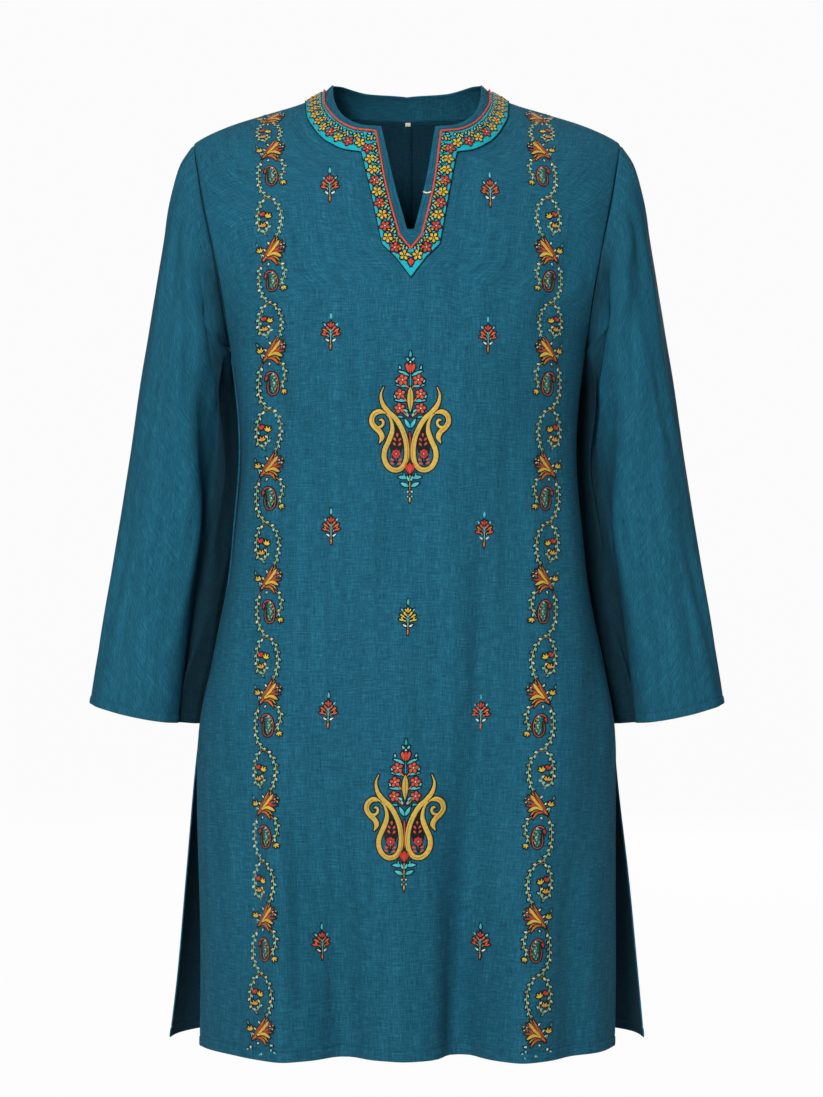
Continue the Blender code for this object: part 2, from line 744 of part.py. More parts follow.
def make_neck_label(material):
    """The small blank tag inside the back, at the neck band's seam."""
    across, turn = seam_edge(0)
    top = height_at_turn(across, turn) + LABEL_ABOVE_SEAM
    points, directions = [], []
    for height in (top - LABEL_HEIGHT, top):
        row, ways = [], []
        for edge in (-0.5, 0.5):
            point = body_point(BACK, LABEL_ACROSS + edge * LABEL_WIDTH, height)
            way = body_normal(BACK, body_point(BACK, 0.0, top))
            row.append(point - way * (WALL + LABEL_GAP))
            ways.append(way)
        points.append(row)
        directions.append(ways)
    return wall_object("neck_label", [(points, directions)], LABEL_THICK, material)


def clear_scene():
    for item in list(bpy.data.objects):
        bpy.data.objects.remove(item, do_unlink=True)


TEAL = (0.013, 0.102, 0.168)
TURQUOISE = (0.007, 0.515, 0.578)
RED = (0.753, 0.061, 0.021)
CREAM = (0.730, 0.665, 0.523)


def main():
    clear_scene()
    cloth = cloth_material("teal_cloth", TEAL, roughness=0.85, sheen=0.2)
    border = cloth_material("turquoise_border", TURQUOISE, roughness=0.80)
    piping = cloth_material("red_piping", RED, roughness=0.70)
    label = cloth_material("cream_label", CREAM, roughness=0.85)
    make_front(cloth)
    make_back("back_left", 1, cloth)
    make_back("back_right", -1, cloth)
    make_sleeve("sleeve_left", 1, cloth)
    make_sleeve("sleeve_right", -1, cloth)
    make_neck_band(cloth)
    make_neck_border(border)
    make_neck_piping(piping)
    make_neck_label(label)


main()
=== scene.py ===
import json
import math

import bmesh
import bpy
import numpy as np
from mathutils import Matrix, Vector

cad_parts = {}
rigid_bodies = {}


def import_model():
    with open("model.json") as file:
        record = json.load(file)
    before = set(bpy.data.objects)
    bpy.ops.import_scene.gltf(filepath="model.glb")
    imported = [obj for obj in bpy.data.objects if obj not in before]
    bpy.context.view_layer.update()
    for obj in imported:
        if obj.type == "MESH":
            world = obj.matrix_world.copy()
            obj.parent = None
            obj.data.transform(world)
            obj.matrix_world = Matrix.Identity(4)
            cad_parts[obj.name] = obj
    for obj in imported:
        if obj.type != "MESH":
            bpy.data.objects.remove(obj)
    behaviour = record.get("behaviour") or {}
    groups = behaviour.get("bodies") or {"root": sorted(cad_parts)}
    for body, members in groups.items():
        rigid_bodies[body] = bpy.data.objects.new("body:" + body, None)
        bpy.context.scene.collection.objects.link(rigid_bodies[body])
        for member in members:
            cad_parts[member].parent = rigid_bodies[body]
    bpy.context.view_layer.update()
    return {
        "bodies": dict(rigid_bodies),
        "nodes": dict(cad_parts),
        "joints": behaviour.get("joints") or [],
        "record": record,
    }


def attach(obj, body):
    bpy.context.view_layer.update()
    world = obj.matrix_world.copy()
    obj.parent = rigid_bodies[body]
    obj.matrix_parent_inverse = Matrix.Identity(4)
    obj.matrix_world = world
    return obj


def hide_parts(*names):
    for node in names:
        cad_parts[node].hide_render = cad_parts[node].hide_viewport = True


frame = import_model()
print("frame loaded:", len(frame["nodes"]), "nodes")


def bell(offset, width):
    return np.exp(-((offset / width) ** 2))


def ease(share):
    share = np.clip(share, 0, 1)
    return share * share * (3 - 2 * share)


def onBothSides(side, footAcross, footHeight, headAcross, *rest):
    # a fold's row and its mirror image
    return tuple((side, way * footAcross, footHeight, way * headAcross, *rest) for way in (-1, 1))


# The worn shape. Metres: across is +X, height is +Z, and the front is towards -Y.
# The front and back are surfaces over (across, height); depth is measured from the side seams.
front = -1
back = 1
tunic = {
    "hem": -0.905,
    "slitTop": -0.615,
    "underarm": -0.235,
    "seamGap": 0.0003,
    "clothThick": 0.0012,
    "squareness": 2.3,
    "domeSquareness": 1.75,
    "domeStart": {front: -0.160, back: -0.120},
    "dropARadian": 0.2,
    "rippleTop": -0.030,
    "rippleRamp": 0.36,
    "backRipples": 0.7,     # so that the back's ripples aren't the front's
    "slopeStep": 0.0004,
    # height, front half, front edge, front depth, back half, back edge, back depth
    "outline": (
        (-0.905, 0.2035, 0.2000, 0.1180, 0.2305, 0.2300, 0.1260),
        (-0.760, 0.2030, 0.2005, 0.1180, 0.2165, 0.2160, 0.1200),
        (-0.615, 0.2005, 0.2005, 0.1190, 0.2005, 0.2005, 0.1140),
        (-0.530, 0.1885, 0.1885, 0.1180, 0.1885, 0.1885, 0.1070),
        (-0.430, 0.1735, 0.1735, 0.1140, 0.1735, 0.1735, 0.0950),
        (-0.335, 0.1635, 0.1635, 0.1120, 0.1635, 0.1635, 0.0900),
        (-0.235, 0.1715, 0.1715, 0.1180, 0.1715, 0.1715, 0.1000),
        (-0.200, 0.1840, 0.1840, 0.1185, 0.1840, 0.1840, 0.1030),
        (-0.150, 0.2060, 0.2060, 0.1170, 0.2060, 0.2060, 0.1050),
        (0.060, 0.2300, 0.2300, 0.1120, 0.2300, 0.2300, 0.1000),
    ),
    # across, height of the shoulder seam
    "shoulder": (
        (0.0000, 0.0560), (0.0400, 0.0400), (0.0720, 0.0180), (0.0786, 0.0115), (0.0975, 0.0010),
        (0.1340, -0.0105), (0.1680, -0.0210), (0.1960, -0.0330), (0.2065, -0.0400), (0.2400, -0.0700),
    ),
    # height, across
    "armhole": (
        (-0.2350, 0.1715), (-0.2050, 0.1740), (-0.1700, 0.1790), (-0.1400, 0.1850),
        (-0.1000, 0.1940), (-0.0600, 0.2020), (-0.0400, 0.2065),
    ),
    # height, how far the front's middle hangs to one side
    "drift": (
        (-0.905, -0.0030), (-0.700, -0.0015), (-0.500, 0.0020),
        (-0.170, 0.0038), (-0.080, 0.0030), (0.020, 0.0000),
    ),
    # side, foot across, foot height, head across, head height, spread, depth
    "folds": (
        (front, -0.0660, -0.905, -0.0920, -0.500, 0.0210, 0.0310),
        (front, 0.0530, -0.905, 0.0660, -0.470, 0.0210, 0.0400),
        (front, -0.1150, -0.905, -0.1350, -0.560, 0.0270, -0.0240),
        (front, 0.1120, -0.905, 0.1250, -0.540, 0.0270, -0.0240),
        *onBothSides(front, 0.1500, -0.400, 0.1250, -0.240, 0.0140, 0.0060),
        (back, -0.0900, -0.905, -0.0700, -0.520, 0.0240, 0.0260),
        (back, 0.0800, -0.905, 0.0600, -0.480, 0.0240, 0.0260),
        (back, 0.0000, -0.905, 0.0000, -0.480, 0.0360, -0.0080),
        *onBothSides(back, 0.1500, -0.905, 0.1300, -0.600, 0.0240, -0.0140),
    ),
    # the same columns, for creases too slight for the solid
    "creases": (
        (front, -0.020, -0.905, -0.030, -0.420, 0.0110, 0.0028),
        (front, 0.010, -0.905, 0.020, -0.520, 0.0090, 0.0022),
        (front, 0.092, -0.860, 0.098, -0.430, 0.0100, 0.0030),
        (front, -0.135, -0.880, -0.148, -0.470, 0.0100, 0.0030),
        (front, 0.150, -0.880, 0.152, -0.500, 0.0100, 0.0030),
        (front, -0.098, -0.830, -0.102, -0.340, 0.0085, 0.0046),
        (front, -0.056, -0.860, -0.061, -0.560, 0.0080, 0.0036),
        (front, -0.060, -0.600, -0.056, -0.200, 0.0075, 0.0026),
        (front, 0.046, -0.880, 0.072, -0.400, 0.0085, 0.0052),
        (front, 0.064, -0.600, 0.086, -0.180, 0.0075, 0.0030),
        (front, 0.100, -0.600, 0.098, -0.240, 0.0070, 0.0026),
        (front, -0.016, -0.560, -0.012, -0.340, 0.0060, 0.0020),
        (front, 0.016, -0.560, 0.010, -0.340, 0.0060, 0.0020),
        (front, -0.034, -0.130, -0.070, -0.048, 0.0045, 0.0022),
        (front, 0.052, -0.150, 0.072, -0.052, 0.0050, 0.0014),
        *onBothSides(front, 0.118, -0.250, 0.168, -0.110, 0.0080, 0.0022),
        (front, -0.100, -0.330, -0.158, -0.222, 0.0080, 0.0022),
        (front, 0.098, -0.335, 0.158, -0.225, 0.0080, 0.0022),
        (front, -0.066, -0.220, -0.120, -0.120, 0.0120, 0.0014),
        (front, 0.070, -0.225, 0.124, -0.125, 0.0120, 0.0014),
        (front, -0.048, -0.430, -0.062, -0.190, 0.0100, 0.0012),
        (front, 0.052, -0.450, 0.050, -0.190, 0.0100, 0.0012),
        (front, -0.152, -0.560, -0.158, -0.300, 0.0080, 0.0016),
        (front, 0.154, -0.560, 0.158, -0.300, 0.0080, 0.0016),
        *onBothSides(front, 0.185, -0.460, 0.172, -0.238, 0.0120, 0.0060),
        *onBothSides(back, 0.185, -0.460, 0.172, -0.238, 0.0120, 0.0060),
        (back, -0.045, -0.890, -0.036, -0.400, 0.0110, 0.0022),
        (back, 0.040, -0.890, 0.032, -0.380, 0.0110, 0.0022),
        *onBothSides(back, 0.110, -0.330, 0.158, -0.222, 0.0090, 0.0022),
        *onBothSides(back, 0.060, -0.420, 0.110, -0.250, 0.0120, 0.0014),
    ),
    # long slight waves of hanging cloth: wavelength, slant, fade length, phase, depth
    "ripples": (
        (0.037, 0.050, 0.43, 0.3, 0.00095), (0.053, -0.070, 0.37, 1.9, 0.00150),
        (0.081, 0.110, 0.52, 3.1, 0.00190), (0.127, -0.060, 0.71, 4.6, 0.00220),
    ),
}


def curveThrough(rows, column):
    # a smooth curve over a table's first column, which never swings past its rows
    table = np.array(rows, float)
    knots = table[:, 0]
    values = table[:, column]
    steps = np.diff(values) / np.diff(knots)
    before = steps[:-1]
    after = steps[1:]
    sameWay = before * after > 0
    slopes = np.concatenate([steps[:1], np.zeros(len(steps) - 1), steps[-1:]])
    slopes[1:-1] = np.where(sameWay, 2 * before * after / np.where(sameWay, before + after, 1), 0)

    def at(place):
        place = np.clip(place, knots[0], knots[-1])
        index = np.clip(np.searchsorted(knots, place) - 1, 0, len(knots) - 2)
        width = knots[index + 1] - knots[index]
        t = (place - knots[index]) / width
        rise = ease(t)
        start = t * (1 - t) ** 2 * slopes[index] * width
        end = t * t * (t - 1) * slopes[index + 1] * width
        return values[index] * (1 - rise) + values[index + 1] * rise + start + end

    return at


halfWidth, edgeAcross, depthAt = [
    {front: curveThrough(tunic["outline"], column), back: curveThrough(tunic["outline"], column + 3)}
    for column in (1, 2, 3)
]
shoulderHeight = curveThrough(tunic["shoulder"], 1)
armholeAcross = curveThrough(tunic["armhole"], 1)
driftAt = curveThrough(tunic["drift"], 1)


def foldDepth(side, across, height, folds):
    # how far the folds of one side push the cloth inwards; each fades out towards its head
    total = np.zeros(np.broadcast(across, height).shape)
    for foldSide, footAcross, footHeight, headAcross, headHeight, spread, depth in folds:
        if foldSide != side:
            continue
        up = (height - footHeight) / (headHeight - footHeight)
        above = np.clip(up, 0, 1)
        below = np.clip(-2 * up, 0, 1)
        line = footAcross + (headAcross - footAcross) * above
        offset = (across - line) / spread
        total = total + depth * (1 - above**2) ** 2 * (1 - below) * np.exp(-0.5 * offset**2)
    return total


def rippleDepth(across, height, ripples):
    total = np.zeros(np.broadcast(across, height).shape)
    for wavelength, slant, fade, phase, depth in ripples:
        wave = np.sin(2 * math.pi * (across + slant * height) / wavelength + phase)
        # the waves come and go along their length, out of step from one to the next
        swell = 0.5 + 0.5 * np.sin(2 * math.pi * height / fade + phase * 2.3 + across * 9)
        total = total + depth * wave * swell
    return total


def roundOut(share, squareness):
    return (1 - np.minimum(np.abs(share), 1) ** squareness) ** (1 / squareness)


def domeShare(side, across, height):
    start = tunic["domeStart"][side]
    return np.clip((height - start) / (shoulderHeight(np.abs(across)) - start), 0, 1)


def bodyReach(side, across, height):
    # how far the cloth stands out before it closes over the shoulder
    rounded = roundOut(across / halfWidth[side](height), tunic["squareness"])
    return depthAt[side](height) * rounded - foldDepth(side, across, height, tunic["folds"]) * rounded**2


def bodyPoint(side, across, height):
    across, height = np.broadcast_arrays(np.asarray(across, float), np.asarray(height, float))
    closing = roundOut(domeShare(side, across, height), tunic["domeSquareness"])
    if side == front:
        edge = across / halfWidth[side](height)
        across = across + driftAt(height) * np.maximum(1 - edge**2, 0) * closing
        closing = roundOut(domeShare(side, across, height), tunic["domeSquareness"])
    return np.stack([across, side * bodyReach(side, across, height) * closing, height], -1)


def bodyField(side, point):
    # less than nothing inside the body's outline and more outside it
    across = point[..., 0]
    out = point[..., 1] * side
    height = point[..., 2]
    share = domeShare(side, across, height)
    edge = np.abs(across) / halfWidth[side](height)
    rounded = roundOut(edge, tunic["squareness"])
    folded = np.abs(out + foldDepth(side, across, height, tunic["folds"]) * rounded**2)
    below = (folded / depthAt[side](height)) ** tunic["squareness"] + edge ** tunic["squareness"] - 1
    reach = np.maximum(bodyReach(side, across, height), 1e-4)
    over = np.abs(out / reach) ** tunic["domeSquareness"] + share ** tunic["domeSquareness"] - 1
    return np.where((share <= 0) | (rounded <= 0), below, over)


def unit(vectors):
    return vectors / np.maximum(np.linalg.norm(vectors, axis=-1, keepdims=True), 1e-12)


def bodyNormal(side, point):
    slopes = []
    for axis in np.eye(3) * tunic["slopeStep"]:
        slopes.append(bodyField(side, point + axis) - bodyField(side, point - axis))
    return unit(np.stack(slopes, -1))


def clothPoint(side, across, height, lift=0.0):
    # a point of the outer cloth, its creases included, and the way out of the cloth there
    point = bodyPoint(side, across, height)
    normal = bodyNormal(side, point)
    hanging = np.clip((tunic["rippleTop"] - point[..., 2]) / tunic["rippleRamp"], 0, 1)
    rippleAcross = point[..., 0] + side * tunic["backRipples"]
    ripples = rippleDepth(rippleAcross, point[..., 2], tunic["ripples"]) * hanging
    push = lift - ripples - foldDepth(side, point[..., 0], point[..., 2], tunic["creases"])
    return point + normal * push[..., None], normal


# Neck edges: along counts steps from the middle of the back, over the shoulder at 8 and
# the slit's corner at 16, to the tip at 22. Each edge is a place across and a turn over
# the shoulder seam, 0 on it and less than nothing on the front.
onSeam = None
neck = {
    "cornerAt": 16,
    "tipCornerAt": 20,
    "tipAt": 22,
    "seamShare": 0.72,
    "trimLift": 0.0008,
    "borderThick": 0.0010,
    "pipingRadius": 0.0009,
    # along, side, then across and height of the opening, the piping and the border's outer edge
    "edges": (
        (0.0, back, 0.0000, 0.0160, 0.0000, 0.0080, 0.0000, -0.0140),
        (3.2, back, 0.0400, 0.0172, 0.0430, 0.0082, 0.0520, -0.0130),
        (5.6, back, 0.0610, 0.0198, 0.0660, 0.0090, 0.0790, -0.0095),
        (8.0, back, 0.0720, onSeam, 0.0786, onSeam, 0.0975, onSeam),
        (10.8, front, 0.0712, 0.0040, 0.0783, -0.0035, 0.0955, -0.0180),
        (12.3, front, 0.0674, -0.0110, 0.0735, -0.0165, 0.0880, -0.0350),
        (13.6, front, 0.0590, -0.0235, 0.0645, -0.0285, 0.0752, -0.0495),
        (14.8, front, 0.0440, -0.0320, 0.0490, -0.0375, 0.0605, -0.0577),
        (16.0, front, 0.0255, -0.0345, 0.0303, -0.0405, 0.0447, -0.0607),
        (18.0, front, 0.0160, -0.0840, 0.0228, -0.0900, 0.0360, -0.1020),
        (20.0, front, 0.0034, -0.1342, 0.0104, -0.1398, 0.0268, -0.1487),
        (22.0, front, 0.0000, -0.1345, 0.0000, -0.1527, 0.0000, -0.1797),
    ),
}


def turnOverShoulder(side, across, height):
    if height is onSeam:
        return 0.0
    drop = tunic["domeStart"][side] - height
    if drop > 0:
        return side * (math.pi / 2 + drop / tunic["dropARadian"])
    return side * math.acos(domeShare(side, across, height) ** (tunic["domeSquareness"] / 2))


def heightAtTurn(across, turn):
    start = np.where(turn > 0, tunic["domeStart"][back], tunic["domeStart"][front])
    past = np.abs(turn) - math.pi / 2
    over = np.maximum(np.cos(turn), 0) ** (2 / tunic["domeSquareness"])
    domed = start + (shoulderHeight(np.abs(across)) - start) * over
    return np.where(past > 0, start - past * tunic["dropARadian"], domed)


def neckEdge(column):
    # an edge turns sharply at its corners, so it is a smooth curve only between them
    corners = (0, neck["cornerAt"], neck["tipCornerAt"], neck["tipAt"])
    stretches = []
    for start, end in zip(corners, corners[1:]):
        turns = []
        for row in neck["edges"]:
            if start <= row[0] <= end:
                turns.append((row[0], row[column], turnOverShoulder(row[1], row[column], row[column + 1])))
        stretches.append((start, end, curveThrough(turns, 1), curveThrough(turns, 2)))

    def at(along):
        along = np.asarray(along, float)
        edge = np.zeros(along.shape + (2,))
        for start, end, acrossAt, turnAt in stretches:
            here = ((along >= start) & (along <= end))[..., None]
            edge = np.where(here, np.stack([acrossAt(along), turnAt(along)], -1), edge)
        return edge

    return at


openingEdge = neckEdge(2)
pipingEdge = neckEdge(4)
borderEdge = neckEdge(6)


def seamEdge(along):
    return pipingEdge(along) + (borderEdge(along) - pipingEdge(along)) * neck["seamShare"]


def neckPlace(edge, mirror, lift=0.0):
    across = edge[..., 0] * mirror
    turn = edge[..., 1]
    height = heightAtTurn(across, turn)
    frontPoint, frontNormal = clothPoint(front, across, height, lift)
    backPoint, backNormal = clothPoint(back, across, height, lift)
    isBack = (turn > 0)[..., None]
    return np.where(isBack, backPoint, frontPoint), np.where(isBack, backNormal, frontNormal)


# Making meshes: a grid made by an operator, then shaped by its places on the cloth
weldDistance = 0.00002


def gridPiece(name, grids, material, paintedShadeShare=None):
    # each grid is places (rows, columns, 3), a weave map in metres and the ways out of it; the last argument
    # gives, at each place of a grid, how far painted shade darkens the cloth's colour
    work = bmesh.new()
    weave = work.loops.layers.uv.new("weave")
    shadeLayer = work.verts.layers.float.new("paintedShadeShare")
    for places, mapped, outward in grids:
        rows, columns = places.shape[:2]
        made = bmesh.ops.create_grid(work, x_segments=columns - 1, y_segments=rows - 1, size=1)
        flatPlaces = places.reshape(-1, 3).tolist()
        flatMap = mapped.reshape(-1, 2).tolist()
        flatShade = (paintedShadeShare(places) if paintedShadeShare else np.zeros((rows, columns))).ravel().tolist()
        for index, vert in enumerate(made["verts"]):
            vert.co = flatPlaces[index]
            vert[shadeLayer] = flatShade[index]
            for loop in vert.link_loops:
                loop[weave].uv = flatMap[index]
        faces = list({face for vert in made["verts"] for face in vert.link_faces})
        middle = made["verts"][(rows // 2) * columns + columns // 2]
        middle.normal_update()
        work.normal_update()
        if middle.normal.dot(outward[rows // 2, columns // 2].tolist()) < 0:
            bmesh.ops.reverse_faces(work, faces=faces)
    bmesh.ops.remove_doubles(work, verts=work.verts[:], dist=weldDistance)
    return finishMesh(name, work, material)


def finishMesh(name, work, material):
    mesh = bpy.data.meshes.new(name)
    work.to_mesh(mesh)
    work.free()
    mesh.shade_smooth()
    piece = bpy.data.objects.new(name, mesh)
    bpy.context.scene.collection.objects.link(piece)
    mesh.materials.append(material)
    return piece


def giveThickness(piece, thick, shadedInside=None):
    # the wall grows inwards; the third argument is the finish of the cloth's inner face, its colour darkened
    # as painted shade
    solid = piece.modifiers.new("clothThickness", "SOLIDIFY")
    solid.thickness = thick
    solid.offset = -1
    if shadedInside:
        piece.data.materials.append(shadedInside)
        solid.material_offset = 1
    return piece


def lengthsAlong(places, axis):
    # distance from the start of each line of a grid, measured on the cloth
    steps = np.linalg.norm(np.diff(places, axis=axis), axis=-1)
    pad = [(0, 0), (0, 0)]
    pad[axis] = (1, 0)
    return np.cumsum(np.pad(steps, pad), axis=axis)


def squareMap(places):
    # a weave map whose first thread runs along the rows
    return np.stack([lengthsAlong(places, 1), lengthsAlong(places, 0)], -1)


def runAlong(points):
    # distance from the start of a single line
    return np.concatenate([[0], np.cumsum(np.linalg.norm(np.diff(points, axis=0), axis=-1))])


def ringNormals(places):
    # the ways out of a tube whose rows are closed rings
    ring = np.concatenate([places[:, -2:-1], places, places[:, 1:2]], axis=1)
    return unit(np.cross(ring[:, 2:] - ring[:, :-2], np.gradient(places, axis=0)))


hems = {
    "turnUp": 0.0098,   # hem edge to its line of stitches
    "cuffTurnUp": 0.0080,
    "slitTurnIn": 0.0055,
    "double": 0.00035,  # how far the doubled cloth stands proud
    "doubleEnd": 0.0010,
    "groove": 0.00060,
    "grooveWidth": 0.00080,
    "roll": 0.00050,
    "rollWidth": 0.0014,
    "pucker": 0.00012,
}
seams = {
    "dip": 0.00095,     # cloth dips to a sewn seam
    "dipWidth": 0.0013,
    "rise": 0.00020,    # and stands a little proud where the allowance lies under it
    "riseAt": 0.0050,
    "riseWidth": 0.0040,
    "centreBack": 0.45,
    "slitEnd": 0.008,
    "underarmFade": 0.007,
}


def stepDown(place, width):
    # 1 well before nought and 0 well after it
    return 0.5 - 0.5 * np.tanh(place / width)


def hemRelief(distance, turnUp):
    # doubled cloth up to the stitches, which pull a shallow groove, and a rolled edge
    doubled = hems["double"] * stepDown(distance - turnUp, hems["doubleEnd"])
    groove = hems["groove"] * bell(distance - turnUp, hems["grooveWidth"])
    roll = hems["roll"] * np.clip(1 - distance / hems["rollWidth"], 0, 1) ** 2
    pucker = hems["pucker"] * bell(distance - turnUp / 2, turnUp / 2)
    return doubled - groove - roll + pucker


def seamRelief(distance):
    rise = seams["rise"] * bell(distance - seams["riseAt"], seams["riseWidth"])
    return rise - seams["dip"] * bell(distance, seams["dipWidth"])


closeMarks = np.array([0, 0.7, 1.5, 3, 4.5, 5.3, 6.1, 7.5, 8.8, 9.5, 10.1, 11, 13, 17]) / 1000


def marksFromEdge(length, step):
    # places along a grid, close together near its edge, where the hem and seams are
    count = max(int((length - closeMarks[-1]) / step), 1)
    return np.concatenate([closeMarks[:-1], np.linspace(closeMarks[-1], length, count + 1)])


def equalMarks(points, count):
    # where along a densely measured line equal lengths of it end
    lengths = runAlong(points)
    shares = np.linspace(0, 1, count + 1)
    return np.interp(shares * lengths[-1], lengths, np.linspace(0, 1, len(lengths)))


def armholePlace(share):
    top = tunic["armhole"][-1][0]
    height = tunic["underarm"] + (top - tunic["underarm"]) * 0.5 * (1 - np.cos(math.pi * share))
    return armholeAcross(height), height


def armholeLine(side, steps):
    # the armhole seam from the underarm to the shoulder point, in equal lengths
    dense = bodyPoint(side, *armholePlace(np.linspace(0, 1, 401)))
    return armholePlace(equalMarks(dense, steps))


panels = {
    "rowsPerStep": 4,
    "yokeSteps": {front: 2, back: 8},
    "neckSteps": {front: (22, 8), back: (0, 8)},
    "armholeSteps": 16,
    "bodyRow": 0.0065,
    "column": 0.0055,
    "halfLength": 0.262,  # roughly, from the middle round to the side seam
}


def panelEnds(side):
    # across and height at the inner and outer ends of each row, from the hem up
    fine = panels["rowsPerStep"]
    rise = marksFromEdge(tunic["underarm"] - tunic["hem"], panels["bodyRow"])
    low = tunic["hem"] + rise
    armAcross, armHeight = armholeLine(side, panels["armholeSteps"] * fine)
    outer = np.stack([np.append(edgeAcross[side](low[:-1]), armAcross), np.append(low[:-1], armHeight)], -1)
    first, last = panels["neckSteps"][side]
    neckLine = seamEdge(np.linspace(first, last, abs(last - first) * fine + 1))
    neckHeight = heightAtTurn(neckLine[:, 0], neckLine[:, 1])
    yoke = np.linspace(tunic["underarm"], neckHeight[0], panels["yokeSteps"][side] * fine + 1)[1:-1]
    middle = np.concatenate([low, yoke])
    innerAcross = np.concatenate([np.zeros(len(middle)), neckLine[:, 0]])
    inner = np.stack([innerAcross, np.concatenate([middle, neckHeight])], -1)
    follow = np.clip((np.arange(len(inner)) - len(low) + 1) / (len(inner) - len(low)), 0, 1)
    return inner, outer, follow, len(low) - 1


def panelGrid(side, mirror):
    inner, outer, follow, underarmRow = panelEnds(side)
    marks = marksFromEdge(panels["halfLength"], panels["column"])
    share = 1 - marks[::-1] / panels["halfLength"]
    nearHalf = halfWidth[side](inner[:, 1])
    farHalf = halfWidth[side](outer[:, 1])
    nearAngle = np.arcsin(np.minimum(inner[:, 0] / nearHalf, 1))
    farAngle = np.arcsin(np.minimum(outer[:, 0] / farHalf, 1))

    def along(near, far):
        return near[:, None] + (far - near)[:, None] * share

    across = along(nearHalf, farHalf) * np.sin(along(nearAngle, farAngle))
    level = along(inner[:, 1], outer[:, 1])
    drops = along(inner[:, 1] - shoulderHeight(inner[:, 0]), outer[:, 1] - shoulderHeight(outer[:, 0]))
    height = level + (shoulderHeight(across) + drops - level) * follow[:, None]
    places, normals = clothPoint(side, mirror * across, height)
    places[-1, :, 1] = 0
    slitRow = np.searchsorted(inner[:, 1], tunic["slitTop"])
    places[slitRow:underarmRow + 1, -1, 1] = 0
    places[..., 1] += side * tunic["seamGap"] / 2

    up = lengthsAlong(places, 0)
    fromEdge = lengthsAlong(places[:, ::-1], 1)[:, ::-1]
    fromTop = lengthsAlong(places[::-1], 0)[::-1]
    onSlit = stepDown(places[..., 2] - tunic["slitTop"], seams["slitEnd"])
    relief = hemRelief(up, hems["turnUp"])
    relief = relief + hemRelief(fromEdge, hems["slitTurnIn"]) * onSlit
    underarm = bell(places[..., 2] - tunic["underarm"], seams["underarmFade"])
    relief = relief + seamRelief(fromEdge) * (1 - onSlit) * (1 - underarm) + seamRelief(fromTop)
    if side == back:
        relief = relief + seamRelief(np.abs(places[..., 0])) * seams["centreBack"]
        places[inner[:, 0] == 0, 0, 0] = mirror * tunic["seamGap"] / 2
    places = places + normals * relief[..., None]
    weaveMap = np.stack([mirror * (fromEdge[:, :1] - fromEdge), up], -1)
    return places, weaveMap, normals


sleeve = {
    # along, outer across, outer height, inner across, inner height, front reach, back reach
    "sections": (
        (0.00, 0.2065, -0.0400, 0.1719, -0.2346, -0.0600, 0.0550),
        (0.06, 0.2190, -0.0600, 0.1735, -0.2348, -0.0610, 0.0570),
        (0.12, 0.2280, -0.0930, 0.1745, -0.2360, -0.0600, 0.0600),
        (0.19, 0.2350, -0.1350, 0.1710, -0.2400, -0.0560, 0.0640),
        (0.27, 0.2446, -0.1830, 0.1660, -0.2520, -0.0490, 0.0700),
        (0.37, 0.2538, -0.2410, 0.1610, -0.2780, -0.0390, 0.0770),
        (0.48, 0.2634, -0.2985, 0.1585, -0.3160, -0.0280, 0.0830),
        (0.60, 0.2738, -0.3590, 0.1600, -0.3730, -0.0190, 0.0870),
        (0.73, 0.2850, -0.4295, 0.1700, -0.4450, -0.0150, 0.0850),
        (0.87, 0.2976, -0.5040, 0.1835, -0.5225, -0.0130, 0.0780),
        (1.00, 0.3104, -0.5805, 0.1965, -0.6020, -0.0120, 0.0690),
    ),
    # head along, head angle, foot along, foot angle, spread in degrees, depth
    "folds": (
        (0.22, 80.0, 0.70, 142.0, 18.0, 0.0120),
        (0.30, 300.0, 0.62, 232.0, 20.0, 0.0090),
    ),
    "creases": (
        (0.10, 50.0, 0.44, 96.0, 12.0, 0.0030),
        (0.34, 40.0, 0.74, 108.0, 11.0, 0.0026),
        (0.55, 70.0, 0.97, 92.0, 12.0, 0.0018),
        (0.50, 128.0, 0.92, 140.0, 12.0, 0.0020),
        (0.08, 100.0, 0.30, 150.0, 12.0, 0.0024),
        (0.15, 300.0, 0.50, 262.0, 13.0, 0.0026),
        (0.50, 300.0, 0.94, 270.0, 13.0, 0.0020),
        (-0.04, 96.0, 0.58, 138.0, 14.0, 0.0105),
        (0.02, 132.0, 1.60, 158.0, 21.0, 0.0250),
        (-0.10, 206.0, 1.40, 210.0, 14.0, -0.0060),
    ),
    # wavelength round the sleeve, slant, fade length, phase, depth
    "ripples": (
        (0.110, 0.16, 0.47, 0.4, 0.0011), (0.173, -0.22, 0.61, 2.1, 0.0016),
        (0.079, 0.10, 0.35, 4.4, 0.0007),
    ),
    "squareness": 2.15,
    "cuffDip": 0.0034,      # how far the front of the cuff hangs below a straight line
    "clearance": 0.0030,
    "clearanceFrom": 0.010,  # below the underarm the sleeve first presses on the body
    "clearanceRamp": 0.030,
    "press": 0.0006,
    "underarmSpread": 11.0,
    "armholeFade": 0.16,
    "armholeGap": 0.00045,
    "seamFade": 0.02,
    "length": 0.56,
    "row": 0.0062,
    "topRows": (0, 0.002, 0.005, 0.009),
    "stepsRound": 128,
    "seamMetres": 0.0012,   # a degree's width where the sleeve's own seam runs, underneath
}
sleeveCurves = [curveThrough(sleeve["sections"], column) for column in range(1, 7)]


def sleeveFold(along, angle, folds):
    total = np.zeros(np.broadcast(along, angle).shape)
    for headAlong, headAngle, footAlong, footAngle, spread, depth in folds:
        share = np.clip((along - headAlong) / (footAlong - headAlong), 0, 1)
        line = headAngle + (footAngle - headAngle) * share
        offset = (np.degrees(angle) - line) / spread
        total = total + depth * np.sin(math.pi * share) ** 1.2 * np.exp(-0.5 * offset**2)
    return total


